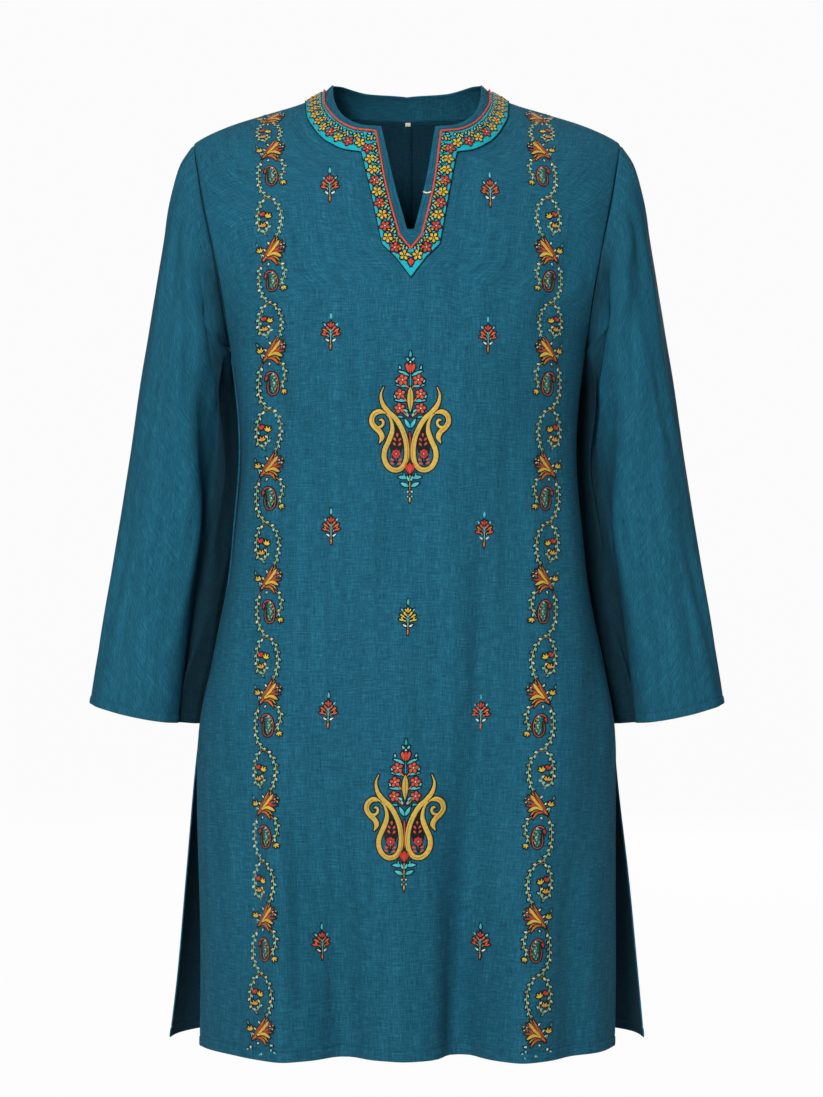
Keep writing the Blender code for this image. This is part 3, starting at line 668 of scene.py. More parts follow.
def sleeveSection(along, angle):
    # angle 0 is the sleeve's outer side and a quarter turn its front
    along, angle = np.broadcast_arrays(np.asarray(along, float), np.asarray(angle, float))
    outerAcross, outerHeight, innerAcross, innerHeight, frontReach, backReach = [
        curve(along) for curve in sleeveCurves
    ]
    power = 2 / sleeve["squareness"]
    lengthwise = np.copysign(np.abs(np.cos(angle)) ** power, np.cos(angle))
    sideways = np.copysign(np.abs(np.sin(angle)) ** power, np.sin(angle))
    middle = np.stack([outerAcross + innerAcross, frontReach + backReach, outerHeight + innerHeight], -1) / 2
    reach = np.stack([
        (outerAcross - innerAcross) * lengthwise,
        (frontReach - backReach) * sideways,
        (outerHeight - innerHeight) * lengthwise,
    ], -1) / 2
    fold = sleeveFold(along, angle, sleeve["folds"]) / np.linalg.norm(reach, axis=-1)
    places = middle + reach * (1 - fold)[..., None]
    places[..., 2] -= sleeve["cuffDip"] * np.maximum(np.sin(angle), 0) ** 2 * np.clip(along, 0, 1) ** 6
    return places


def armholeRing():
    # the sleeve's first ring, just outside the armhole seam, from the shoulder round the front
    half = sleeve["stepsRound"] // 2
    frontSeam = bodyPoint(front, *armholeLine(front, half))[::-1]
    backSeam = bodyPoint(back, *armholeLine(back, half))[1:-1]
    ring = np.concatenate([frontSeam, backSeam])
    ring[[0, half], 1] = 0
    along = unit(np.roll(ring, -1, axis=0) - np.roll(ring, 1, axis=0))
    isBack = (ring[:, 1] > 0)[:, None]
    outward = np.where(isBack, bodyNormal(back, ring), bodyNormal(front, ring))
    away = unit(np.cross(along, outward))
    away = np.where((away @ np.array([1, 0, 0.3]))[:, None] > 0, away, -away)
    return ring + away * sleeve["armholeGap"]


def clearOfBody(places):
    low = places[..., 2] <= tunic["underarm"]
    side = np.where(places[..., 1] < 0, front, back)
    reach = np.zeros(places.shape[:-1])
    for one in (front, back):
        depth = bodyReach(one, 0.0, places[..., 2])
        around = roundOut(places[..., 1] / depth, tunic["squareness"]) * halfWidth[one](places[..., 2])
        around = around - foldDepth(one, around, places[..., 2], tunic["creases"])
        reach = np.where(side == one, around, reach)
    ramp = (tunic["underarm"] - places[..., 2] - sleeve["clearanceFrom"]) / sleeve["clearanceRamp"]
    clearance = np.clip(sleeve["clearance"] * ramp, -sleeve["press"], sleeve["clearance"])
    clear = np.maximum(places[..., 0], reach + clearance)
    places[..., 0] = np.where(low, clear, places[..., 0])
    return places


def sleeveGrid(mirror):
    fromCuff = marksFromEdge(sleeve["length"], sleeve["row"])
    along = (1 - fromCuff[::-1] / sleeve["length"])[:, None]
    along = np.concatenate([np.array(sleeve["topRows"])[:, None], along[1:]])
    angle = np.linspace(0, 2 * math.pi, sleeve["stepsRound"] + 1)[None, :]
    places = sleeveSection(along, angle)
    ring = armholeRing()
    ring = np.concatenate([ring, ring[:1]])
    degrees = np.degrees(angle)
    underarm = bell(degrees - 180, sleeve["underarmSpread"])
    ring[:, 0] -= sleeve["press"] * 2 * underarm[0]
    fade = np.maximum(1 - along / sleeve["armholeFade"], 0)[..., None] ** 1.5
    places = places + (ring - sleeveSection(0.0, angle)[0]) * fade
    places = clearOfBody(places)
    normals = ringNormals(places)
    middle = places[:, :-1].mean(axis=1, keepdims=True)
    outward = np.sum(normals * (places - middle), -1, keepdims=True)
    normals = np.where(outward.mean() > 0, normals, -normals)
    down = lengthsAlong(places, 0)
    fromEnd = lengthsAlong(places[::-1], 0)[::-1]
    away = np.clip(down / sleeve["seamFade"], 0, 1)
    relief = hemRelief(fromEnd, hems["cuffTurnUp"]) + seamRelief(down) * (1 - underarm)
    creased = sleeveFold(along, angle, sleeve["creases"]) + rippleDepth(angle / 5, along, sleeve["ripples"])
    relief = relief - creased * away
    relief = relief + seamRelief(np.abs(degrees - 180) * sleeve["seamMetres"]) * away
    places = clearOfBody(places + normals * relief[..., None])
    weaveMap = np.stack([lengthsAlong(places, 1), -down], -1)
    turn = np.array([mirror, 1, 1])
    return places * turn, weaveMap, normals * turn


# Painted shade: the cloth's colour is darkened along the armholes, between sleeve and body and at the body's
# sides, where shade falls.
# Angles are in degrees round the sleeve, from its outer side over its front.
paintedShade = {
    "innerFrom": 114,
    "innerRise": 36,
    "innerTo": 262,
    "innerFall": 40,
    "innerRamp": 0.050,
    "strip": 0.90,
    "stripWidth": 0.024,
    "stripAngle": 128,
    "stripSpread": 40,
    "side": 0.52,
    "sideWidth": 0.026,
    "sideFade": 0.060,
    "sideFoot": -0.640,
    "sideFootFade": 0.160,
}


# painted shade on a sleeve: dark over its inner side and in a strip along the armhole
def sleevePaintedShade(places):
    down = lengthsAlong(places, 0)
    degrees = np.linspace(0, 360, places.shape[1])
    rise = np.clip((degrees - paintedShade["innerFrom"]) / paintedShade["innerRise"], 0, 1)
    fall = np.clip((paintedShade["innerTo"] - degrees) / paintedShade["innerFall"], 0, 1)
    inner = ease(rise * fall) * np.clip(down / paintedShade["innerRamp"], 0, 1)
    strip = bell(down, paintedShade["stripWidth"]) * bell(degrees - paintedShade["stripAngle"], paintedShade["stripSpread"])
    return np.maximum(inner, paintedShade["strip"] * strip)


# painted shade on the body: dark along the side seams below the underarm
def panelPaintedShade(places):
    fromEdge = lengthsAlong(places[:, ::-1], 1)[:, ::-1]
    below = np.clip((tunic["underarm"] - places[..., 2]) / paintedShade["sideFade"], 0, 1)
    above = np.clip((places[..., 2] - paintedShade["sideFoot"]) / paintedShade["sideFootFade"], 0, 1)
    return paintedShade["side"] * bell(fromEdge, paintedShade["sideWidth"]) * below * above


def neckGrid(start, end, shares, lifts, alongs):
    # rows round the whole neck from one edge to another; lifts follows the shares
    grids = []
    for mirror in (1, -1):
        rows = []
        ways = []
        for share, lift in zip(shares, lifts):
            edge = start(alongs) + (end(alongs) - start(alongs)) * share
            point, normal = neckPlace(edge, mirror, lift)
            rows.append(point)
            ways.append(normal)
        grids.append((np.array(rows), np.array(ways)))
    right, left = grids
    places = np.concatenate([right[0], left[0][:, -2::-1]], axis=1)
    normals = np.concatenate([right[1], left[1][:, -2::-1]], axis=1)
    places[:, [0, -1], 0] = 0
    return places, squareMap(places), normals


# Shader groups shared by the finishes. Each reads a map in metres and puts out only what
# changes over the surface.

def mathNode(tree, operation, *values):
    node = tree.nodes.new("ShaderNodeMath")
    node.operation = operation
    for value, socket in zip(values, node.inputs):
        if isinstance(value, (int, float)):
            socket.default_value = value
        else:
            tree.links.new(value, socket)
    return node.outputs[0]


def times(tree, one, two):
    return mathNode(tree, "MULTIPLY", one, two)


def plus(tree, one, two):
    return mathNode(tree, "ADD", one, two)


def sineOf(tree, turns):
    return mathNode(tree, "SINE", times(tree, turns, 2 * math.pi))


def noiseNode(tree, vector, stretch):
    # noise with about this many lumps a metre along each axis
    mapping = tree.nodes.new("ShaderNodeMapping")
    mapping.inputs["Scale"].default_value = stretch
    noise = tree.nodes.new("ShaderNodeTexNoise")
    noise.inputs["Scale"].default_value = 1.0
    tree.links.new(vector, mapping.inputs["Vector"])
    tree.links.new(mapping.outputs["Vector"], noise.inputs["Vector"])
    return noise.outputs["Fac"]


def startGroup(name, **numbers):
    group = bpy.data.node_groups.new(name, "ShaderNodeTree")
    group.interface.new_socket("Map", in_out="INPUT", socket_type="NodeSocketVector")
    for title, value in numbers.items():
        socket = group.interface.new_socket(title, in_out="INPUT", socket_type="NodeSocketFloat")
        socket.default_value = value
    for title in ("Shade", "Height"):
        group.interface.new_socket(title, in_out="OUTPUT", socket_type="NodeSocketFloat")
    into = group.nodes.new("NodeGroupInput").outputs
    split = group.nodes.new("ShaderNodeSeparateXYZ")
    group.links.new(into["Map"], split.inputs[0])
    return group, into, split.outputs


def endGroup(group, shade, height):
    out = group.nodes.new("NodeGroupOutput").inputs
    group.links.new(shade, out["Shade"])
    group.links.new(height, out["Height"])
    return group


yarn = {
    # lumps a metre along each axis: warp, weft, mottling and faded streaks
    "clothLumps": ((900, 75, 1), (65, 860, 1), (420, 460, 1), (120, 9, 1)),
    "mottled": 0.55,
    "faded": 0.40,
    "weaveHeight": 0.35,
    # and the wobble of laid threads and their strands
    "satinLumps": ((900, 500, 40), (2400, 260, 40)),
    "satinSlant": 0.35,
    "satinShade": 0.22,
    "satinHeight": 0.5,
    "silkShade": 0.75,
    "sheenRoughness": 0.45,
    "specular": 0.18,
    # the shade at which the darkest and the lightest tone are reached
    "clothReach": 0.55,
    "cordReach": 0.45,
}


def makeWeaveGroup():
    # plain weave of slubby yarn, with threads both ways
    group, into, split = startGroup("slubWeave", Threads=2200.0, Slub=1.0)
    waves = [sineOf(group, times(group, split[axis], into["Threads"])) for axis in ("X", "Y")]
    warp, weft, mottle, streak = [noiseNode(group, into["Map"], lumps) for lumps in yarn["clothLumps"]]
    slub = times(group, plus(group, plus(group, warp, weft), -1.0), into["Slub"])
    blotch = times(group, plus(group, mottle, -0.5), yarn["mottled"])
    faded = times(group, plus(group, streak, -0.5), yarn["faded"])
    height = plus(group, times(group, times(group, *waves), yarn["weaveHeight"]), slub)
    return endGroup(group, plus(group, slub, plus(group, blotch, faded)), height)


def makeSatinGroup():
    # threads laid side by side across a shape
    group, into, split = startGroup("satinThread", Threads=2600.0)
    slant = plus(group, split["X"], times(group, split["Y"], yarn["satinSlant"]))
    wobble, strand = [noiseNode(group, into["Map"], lumps) for lumps in yarn["satinLumps"]]
    wave = sineOf(group, plus(group, times(group, slant, into["Threads"]), wobble))
    shade = plus(group, times(group, wave, yarn["satinShade"]), plus(group, strand, -0.5))
    return endGroup(group, shade, plus(group, times(group, wave, yarn["satinHeight"]), strand))


weaveGroup = makeWeaveGroup()
satinGroup = makeSatinGroup()


def startMaterial(name, roughness, sheen=0.0, sheenTint=None):
    material = bpy.data.materials.new(name)
    material.use_nodes = True
    shader = material.node_tree.nodes["Principled BSDF"]
    shader.inputs["Roughness"].default_value = roughness
    shader.inputs["Sheen Weight"].default_value = sheen
    shader.inputs["Sheen Roughness"].default_value = yarn["sheenRoughness"]
    shader.inputs["Specular IOR Level"].default_value = yarn["specular"]
    if sheenTint:
        shader.inputs["Sheen Tint"].default_value = (*sheenTint, 1)
    return material, material.node_tree, shader


def endMaterial(tree, shader, colour, height, distance):
    bump = tree.nodes.new("ShaderNodeBump")
    bump.inputs["Distance"].default_value = distance
    tree.links.new(height, bump.inputs["Height"])
    tree.links.new(bump.outputs["Normal"], shader.inputs["Normal"])
    tree.links.new(colour, shader.inputs["Base Color"])


def shadedColour(tree, shade, dark, plain, light, reach):
    # a ramp from dark through plain to light as the shade goes from -reach to reach
    spread = tree.nodes.new("ShaderNodeMapRange")
    spread.inputs["From Min"].default_value = -reach
    spread.inputs["From Max"].default_value = reach
    ramp = tree.nodes.new("ShaderNodeValToRGB")
    ramp.color_ramp.elements[0].color = (*dark, 1)
    ramp.color_ramp.elements[1].color = (*light, 1)
    ramp.color_ramp.elements.new(0.5).color = (*plain, 1)
    tree.links.new(shade, spread.inputs["Value"])
    tree.links.new(spread.outputs["Result"], ramp.inputs["Fac"])
    return ramp.outputs["Color"]


def scaledColour(tree, colour, share):
    node = tree.nodes.new("ShaderNodeVectorMath")
    node.operation = "SCALE"
    tree.links.new(colour, node.inputs[0])
    tree.links.new(share, node.inputs["Scale"])
    return node.outputs["Vector"]


def groupNode(tree, group, vector, **values):
    node = tree.nodes.new("ShaderNodeGroup")
    node.node_tree = group
    tree.links.new(vector, node.inputs["Map"])
    for name, value in values.items():
        node.inputs[name].default_value = value
    return node.outputs


def attributeNode(tree, name):
    node = tree.nodes.new("ShaderNodeAttribute")
    node.attribute_name = name
    return node.outputs


def linear(red, green, blue):
    # from the eight-bit colour that a swatch reads as
    made = []
    for value in (red, green, blue):
        share = value / 255
        made.append(share / 12.92 if share <= 0.04045 else ((share + 0.055) / 1.055) ** 2.4)
    return tuple(made)


def mappedMaterial(name, finish):
    # woven cloth where the finish has slubs, or else yarn twisted round a cord; the map runs
    # along the cord and round it
    tones = [linear(*tone) for tone in finish["tones"]]
    material, tree, shader = startMaterial(name, finish["roughness"], finish["sheen"], tones[2])
    weaveMap = tree.nodes.new("ShaderNodeUVMap")
    weaveMap.uv_map = "weave"
    settings = {"Threads": finish["threads"]}
    if "slub" in finish:
        settings["Slub"] = finish["slub"]
    group, reach = (weaveGroup, "clothReach") if "slub" in finish else (satinGroup, "cordReach")
    surface = groupNode(tree, group, weaveMap.outputs["UV"], **settings)
    colour = shadedColour(tree, surface["Shade"], *tones, yarn[reach])
    # painted shade: the colour is darkened by the piece's shade attribute, scaled by the finish's strength
    if "paintedShadeStrength" in finish:
        depth = times(tree, attributeNode(tree, "paintedShadeShare")["Fac"], finish["paintedShadeStrength"])
        colour = scaledColour(tree, colour, mathNode(tree, "SUBTRACT", 1.0, depth))
    endMaterial(tree, shader, colour, surface["Height"], finish["bump"])
    return material


def threadMaterial(name, roughness, sheen, bump):
    # silk embroidery: colour and lie come from the piece's own attributes
    material, tree, shader = startMaterial(name, roughness, sheen, (1, 1, 1))
    satin = groupNode(tree, satinGroup, attributeNode(tree, "threadLie")["Vector"])
    lift = plus(tree, times(tree, satin["Shade"], yarn["silkShade"]), 1.0)
    colour = scaledColour(tree, attributeNode(tree, "threadColour")["Color"], lift)
    endMaterial(tree, shader, colour, satin["Height"], bump)
    return material


# tones are dark, plain and light; threads are to the metre
finishSettings = {
    "tealCloth": {
        # up to this share of the colour is taken away as painted shade
        "tones": ((8, 49, 66), (17, 79, 100), (38, 108, 130)), "paintedShadeStrength": 0.74,
        "roughness": 0.90, "sheen": 0.03, "threads": 1900.0, "slub": 0.90, "bump": 0.00008,
    },
    # the inside of the cloth, its colour darkened far below the outside as painted shade
    "tealInsideShaded": {
        "tones": ((2, 24, 34), (4, 42, 56), (12, 60, 76)),
        "roughness": 0.95, "sheen": 0.0, "threads": 1900.0, "slub": 0.80, "bump": 0.00006,
    },
    "turquoiseGround": {
        "tones": ((4, 122, 138), (8, 152, 166), (30, 180, 192)),
        "roughness": 0.70, "sheen": 0.03, "threads": 2300.0, "slub": 0.45, "bump": 0.00005,
    },
    "creamLabel": {
        "tones": ((196, 186, 160), (222, 213, 190), (238, 231, 212)),
        "roughness": 0.75, "sheen": 0.10, "threads": 3000.0, "slub": 0.5, "bump": 0.00004,
    },
    "redCord": {
        "tones": ((148, 34, 22), (202, 64, 38), (228, 100, 68)),
        "roughness": 0.60, "sheen": 0.10, "threads": 900.0, "bump": 0.00010,
    },
    # a dark cord that also stands for the painted shadow along the border's outer edge
    "darkCordAndShadow": {
        "tones": ((4, 10, 14), (8, 20, 28), (18, 38, 50)),
        "roughness": 0.65, "sheen": 0.05, "threads": 1200.0, "bump": 0.00006,
    },
    "creamCord": {
        "tones": ((196, 174, 140), (236, 218, 184), (248, 236, 210)),
        "roughness": 0.60, "sheen": 0.10, "threads": 1400.0, "bump": 0.00006,
    },
}
finishes = {name: mappedMaterial(name, finish) for name, finish in finishSettings.items()}
finishes["silkThread"] = threadMaterial("silkThread", 0.48, 0.15, 0.00008)
print("finishes made")


def dress(piece, node=None):
    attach(piece, "root")
    if node:
        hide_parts(node)


frontGrids = [panelGrid(front, mirror) for mirror in (-1, 1)]
backGrids = {mirror: panelGrid(back, mirror) for mirror in (1, -1)}
sleeveGrids = {mirror: sleeveGrid(mirror) for mirror in (1, -1)}
# the front and the sleeves carry painted shade in their cloth colour
for node, grids, paintedShadeShare in (
    ("front", frontGrids, panelPaintedShade),
    ("back_left", [backGrids[1]], None),
    ("back_right", [backGrids[-1]], None),
    ("sleeve_left", [sleeveGrids[1]], sleevePaintedShade),
    ("sleeve_right", [sleeveGrids[-1]], sleevePaintedShade),
):
    piece = gridPiece(node + "_cloth", grids, finishes["tealCloth"], paintedShadeShare)
    area = sum(face.area for face in piece.data.polygons)
    print(node, "cloth area", round(area, 4), "faces", len(piece.data.polygons))
    giveThickness(piece, tunic["clothThick"], finishes["tealInsideShaded"])
    dress(piece, node)

neckAlongs = np.linspace(0, neck["tipAt"], neck["tipAt"] * 8 + 1)
neckCloth = {
    # shares of the width at which the band and the border stop short of the edges they meet
    "bandShort": 0.02,
    "borderShort": 0.06,
    "bandDip": 0.0004,     # where the band turns over the opening
    "bandDipAt": 0.03,
    "bandDipWidth": 0.05,
    "borderRoll": 0.0006,  # how far the border's edges roll down
    "borderThick": 0.0009,
}


def bandInner(along):
    return seamEdge(along) + (openingEdge(along) - seamEdge(along)) * neckCloth["bandShort"]


def borderInner(along):
    return pipingEdge(along) + (borderEdge(along) - pipingEdge(along)) * neckCloth["borderShort"]


bandShares = np.array([0, 0.03, 0.08, 0.2, 0.35, 0.5, 0.65, 0.8, 0.92, 0.98, 1])
bandLift = -neckCloth["bandDip"] * bell(bandShares - neckCloth["bandDipAt"], neckCloth["bandDipWidth"])
bandGrid = neckGrid(openingEdge, bandInner, bandShares, bandLift, neckAlongs)
bandPiece = gridPiece("neck_band_cloth", [bandGrid], finishes["tealCloth"])
neckBand = giveThickness(bandPiece, tunic["clothThick"])
dress(neckBand, "neck_band")

borderShares = np.array([0, 0.04, 0.12, 0.3, 0.5, 0.7, 0.88, 0.96, 1])
borderTop = neck["trimLift"] + neck["borderThick"]
borderLift = borderTop - neckCloth["borderRoll"] * np.abs(2 * borderShares - 1) ** 8
borderGrid = neckGrid(borderInner, borderEdge, borderShares, borderLift, neckAlongs)
borderPiece = gridPiece("neck_border_ground", [borderGrid], finishes["turquoiseGround"])
neckBorder = giveThickness(borderPiece, neckCloth["borderThick"])
dress(neckBorder, "neck_border")
print("cloth pieces made")


# Embroidery. A motif is a list of strips and beads drawn in millimetres, x across and y up.
# Motifs are sewn into a work, a list of shapes in metres, which is then laid on the cloth.

threads = {
    "night": (2, 10, 16),
    "gold": (184, 152, 64),
    "yellow": (200, 170, 46),
    "orange": (194, 104, 38),
    "coral": (190, 72, 48),
    "red": (172, 42, 34),
    "maroon": (94, 26, 34),
    "cream": (172, 200, 184),
    "white": (200, 206, 202),
    "cyan": (84, 184, 190),
    "turquoise": (22, 154, 162),
    "green": (24, 86, 78),
    "olive": (140, 120, 48),
    "slate": (70, 132, 132),
    "navy": (8, 28, 52),
    "rust": (124, 60, 36),
    "mint": (116, 174, 152),
    "lime": (164, 168, 74),
    "shade": (8, 42, 58),
}
threadRgb = {name: np.array(linear(*colour)) for name, colour in threads.items()}
millimetre = 0.001
stitching = {
    "outline": 1.10,    # millimetres of dark thread shown round a shape, an outline that also stands for painted shadow round the raised stitching
    "outlineDome": 0.10,
    "bed": 0.10,        # how far the dark thread lies off the cloth
    "fill": 0.12,       # and the filled shape off the dark thread
    "satin": 0.36,      # how far a filled shape domes
    "fullWidth": 1.6,   # a shape narrower than this domes less
    "leastShare": 0.06,
    "layer": 0.20,
    "ropeGrain": 0.45,  # couched cord lies in longer turns than satin stitch
    "tones": (0.90, 1.08),
    # how much wider than its bead, how high and how flat; the halo is a dark ring under each bead, outline
    # and painted shadow both
    "halo": (0.60, 0.02, 0.35),
    "ball": (0.0, 0.30, 0.75),
    "seed": 7,
}
shades = np.random.default_rng(stitching["seed"])


def smoothLine(points, count):
    # a rounded line through a few points, in equal steps
    points = np.array(points, float)
    if len(points) == 2:
        return points[0] + (points[1] - points[0]) * np.linspace(0, 1, count)[:, None]
    padded = np.concatenate([2 * points[:1] - points[1:2], points, 2 * points[-1:] - points[-2:-1]])
    t = np.linspace(0, 1, 13)[:-1, None]
    dense = []
    for index in range(len(points) - 1):
        one, two, three, four = padded[index:index + 4]
        dense.append(0.5 * (2 * two + (three - one) * t + (2 * one - 5 * two + 4 * three - four) * t**2
                            + (3 * two - one - 3 * three + four) * t**3))
    dense = np.concatenate(dense + [points[-1:]])
    lengths = runAlong(dense)
    wanted = np.linspace(0, lengths[-1], count)
    return np.stack([np.interp(wanted, lengths, dense[:, axis]) for axis in (0, 1)], -1)


profiles = {
    "leaf": lambda t: np.sin(math.pi * np.clip(t, 0, 1) ** 0.85) ** 0.8,
    "petal": lambda t: 0.25 * (1 - t) + np.sin(math.pi * np.clip(t, 0, 1) ** 1.7) ** 0.7,
    "drop": lambda t: np.sin(math.pi * np.clip(t, 0, 1) ** 0.62) ** 0.75,
    "stem": lambda t: np.clip(np.minimum(t, 1 - t) * 12, 0.25, 1),
    "horn": lambda t: np.clip(np.minimum(t * 7, (1 - t) * 7), 0.12, 1) ** 0.8,
}


def strip(points, width, colour, profile="leaf", rows=7, columns=3, layer=0, tip=None, outline=True):
    return {
        "kind": "strip", "line": smoothLine(points, rows), "width": width, "profile": profile,
        "columns": columns, "colour": colour, "tip": tip or colour, "layer": layer, "outline": outline,
    }


def stem(points, width, colour, **extra):
    return strip(points, width, colour, profile="stem", **extra)


def stitchLine(points, colour, width=0.5, layer=6, rows=7):
    # a single line of stem stitch over filled shapes
    return stem(points, width, colour, rows=rows, layer=layer, outline=False)


def bead(x, y, radius, colour, layer=1):
    return {"kind": "bead", "at": (x, y), "radius": radius, "colour": colour, "layer": layer}


def steered(x, y, angle, reach):
    way = math.radians(angle)
    return x + reach * math.cos(way), y + reach * math.sin(way)


def leaf(x, y, angle, length, width, colour, bend=0.0, **extra):
    # a leaf from its base at x, y; bend carries its tip to the left
    base = np.array([x, y])
    way = np.array(steered(0, 0, angle, 1))
    left = np.array([-way[1], way[0]])
    half = base + way * length * 0.5 + left * bend * 0.35
    return strip([base, half, base + way * length + left * bend], width, colour, **extra)


def petalLeaf(*base, **extra):
    return leaf(*base, profile="petal", **extra)


def dropLeaf(*base, **extra):
    return leaf(*base, profile="drop", **extra)


# shares of a blossom's reach or a bud's size; a bud's leaves lean each their own way
flowerForm = {
    "petalFrom": 0.18,
    "petalLength": 0.86,
    "centre": 0.17,
    "budWidth": 0.30,
    "budLeaves": ((52, 0.80), (-52, 0.80), (20, 1.0), (-20, 1.0)),
}


def blossom(x, y, reach, count, colour, centre, turn=90.0, width=0.62, **extra):
    # petals round a centre
    length = reach * flowerForm["petalLength"]
    made = []
    for index in range(count):
        angle = turn + 360.0 * (index / count)
        base = steered(x, y, angle, flowerForm["petalFrom"] * reach)
        made.append(petalLeaf(*base, angle, length, reach * width, colour, rows=5, **extra))
    return made + [bead(x, y, reach * flowerForm["centre"], centre, layer=3)]


shapeMeshes = {}


def shapeMesh(kind, rows=0, columns=0):
    # one small grid or bead, made once and joined in wherever it is sewn
    key = (kind, rows, columns)
    if key not in shapeMeshes:
        work = bmesh.new()
        if kind == "strip":
            bmesh.ops.create_grid(work, x_segments=columns - 1, y_segments=rows - 1, size=1)
        else:
            bmesh.ops.create_uvsphere(work, u_segments=8, v_segments=5, radius=1)
        mesh = bpy.data.meshes.new("shape")
        work.to_mesh(mesh)
        work.free()
        places = np.zeros(len(mesh.vertices) * 3)
        mesh.vertices.foreach_get("co", places)
        shapeMeshes[key] = (mesh, places.reshape(-1, 3))
    return shapeMeshes[key]


def sewStrip(work, line, widths, height, base, colours, columns, grain=1.0):
    along = unit(np.gradient(line, axis=0))
    sideways = np.stack([along[:, 1], -along[:, 0]], -1)
    spots = np.linspace(-1, 1, columns)
    across = widths[:, None] * spots / 2
    lift = base + height * np.sqrt(np.maximum(1 - spots**2, 0)) * np.sqrt(widths / widths.max())[:, None]
    flat = line[:, None] + sideways[:, None] * across[..., None]
    places = np.concatenate([flat, lift[..., None]], -1).reshape(-1, 3)
    seed = shades.uniform(0, 1)
    lies = np.stack(np.broadcast_arrays(runAlong(line)[:, None] * grain, across * grain, seed), -1)
    colour = np.repeat(colours * shades.uniform(*stitching["tones"]), columns, axis=0)
    mesh = shapeMesh("strip", len(line), columns)[0]
    work.append((mesh, places, colour, lies.reshape(-1, 3)))


def sewBead(work, centre, radius, base, colour, form):
    wider, lift, flatten = form
    mesh, ball = shapeMesh("bead")
    places = ball * (radius + wider) * millimetre
    lifts = places[:, 2] * flatten + base + lift * millimetre
    places = np.stack([centre[0] + places[:, 0], centre[1] + places[:, 1], lifts], -1)
    work.append((mesh, places, np.tile(threadRgb[colour], (len(ball), 1)), np.zeros((len(ball), 3))))


def sewMotif(work, motif, toPattern):
    # toPattern turns millimetres of the motif into metres of the work's own pattern
    outline = stitching["outline"] * millimetre
    for item in motif:
        base = (stitching["bed"] + stitching["layer"] * item["layer"]) * millimetre
        if item["kind"] == "bead":
            centre = toPattern(np.array([item["at"]], float))[0]
            # a dark ring under the bead: outline thread and painted shadow both
            sewBead(work, centre, item["radius"], base, "night", stitching["halo"])
            sewBead(work, centre, item["radius"], base, item["colour"], stitching["ball"])
            continue
        line = toPattern(item["line"])
        share = np.linspace(0, 1, len(line))
        shape = np.maximum(profiles[item["profile"]](share), stitching["leastShare"])
        widths = item["width"] * millimetre * shape
        # a dark strip under the shape shows round it: outline thread that also stands for painted shadow
        if item["outline"]:
            ends = line.copy()
            ends[0] -= unit(line[1] - line[0]) * outline
            ends[-1] += unit(line[-1] - line[-2]) * outline
            night = np.tile(threadRgb["night"], (len(line), 1))
            sewStrip(work, ends, widths + 2 * outline, stitching["outlineDome"] * millimetre, base, night, 3)
        start = threadRgb[item["colour"]]
        colours = start + (threadRgb[item["tip"]] - start) * share[:, None]
        dome = stitching["satin"] * millimetre * min(1, item["width"] / stitching["fullWidth"])
        grain = stitching["ropeGrain"] if item["profile"] == "horn" else 1.0
        base += stitching["fill"] * millimetre
        sewStrip(work, line, widths, dome, base, colours, item["columns"], grain)


def layWork(name, work, toCloth):
    meshes, places, colours, lies = zip(*work)
    joined = bmesh.new()
    for mesh in meshes:
        joined.from_mesh(mesh)
    piece = finishMesh(name, joined, finishes["silkThread"])
    mesh = piece.data
    mesh.vertices.foreach_set("co", toCloth(*np.concatenate(places).T).ravel())
    colours = np.concatenate(colours)
    colour = mesh.attributes.new("threadColour", "FLOAT_COLOR", "POINT")
    colour.data.foreach_set("color", np.concatenate([colours, np.ones((len(colours), 1))], -1).ravel())
    lie = mesh.attributes.new("threadLie", "FLOAT_VECTOR", "POINT")
    lie.data.foreach_set("vector", np.concatenate(lies).ravel())
    mesh.update()
    dress(piece)
    print(name, len(work), "shapes,", len(mesh.polygons), "faces")
    return piece


def mirrorMotif(motif):
    turned = []
    for item in motif:
        if item["kind"] == "bead":
            turned.append({**item, "at": (-item["at"][0], item["at"][1])})
        else:
            turned.append({**item, "line": item["line"] * np.array([-1, 1])})
    return turned


def bothSides(motif):
    return motif + mirrorMotif(motif)


def makeSprig(petal, inner, tip):
    # a turquoise bud over a fan of petals, on a short stem
    half = [
        petalLeaf(1.0, 1.6, 48, 4.6, 1.6, petal, bend=0.5, layer=1),
        petalLeaf(1.6, -0.2, 26, 6.0, 1.8, petal, bend=0.9, layer=1, tip=inner),
        petalLeaf(1.4, -2.4, 4, 6.2, 1.8, petal, bend=1.0, layer=1),
        petalLeaf(4.2, -1.6, 60, 3.0, 1.3, petal, layer=2, tip=inner),
        dropLeaf(4.0, 5.4, 52, 3.2, 1.5, "cyan"),
        dropLeaf(1.2, -7.4, 34, 3.8, 1.6, "white"),
        leaf(0.6, -4.2, 44, 5.0, 1.0, "mint", bend=-0.5),
        petalLeaf(0.8, 4.8, 62, 3.4, 1.5, petal, layer=1),
        leaf(0.4, -2.4, 66, 3.6, 0.7, "slate", layer=2),
        leaf(0.3, 0.6, 70, 3.0, 0.6, "mint", layer=3, outline=False),
    ]
    middle = [
        stem([(0, -8.6), (0, -2.0), (0, 3.4)], 0.8, "mint", rows=6, layer=2, tip="turquoise"),
        petalLeaf(0, 4.2, 90, 4.8, 1.7, petal, layer=2, tip=tip),
        dropLeaf(0, 11.0, 90, 5.2, 2.2, "turquoise", tip="cyan"),
        dropLeaf(0, -9.4, -92, 5.0, 1.4, "orange", layer=1),
        bead(0, -8.8, 0.5, "gold"),
    ]
    return bothSides(half) + middle


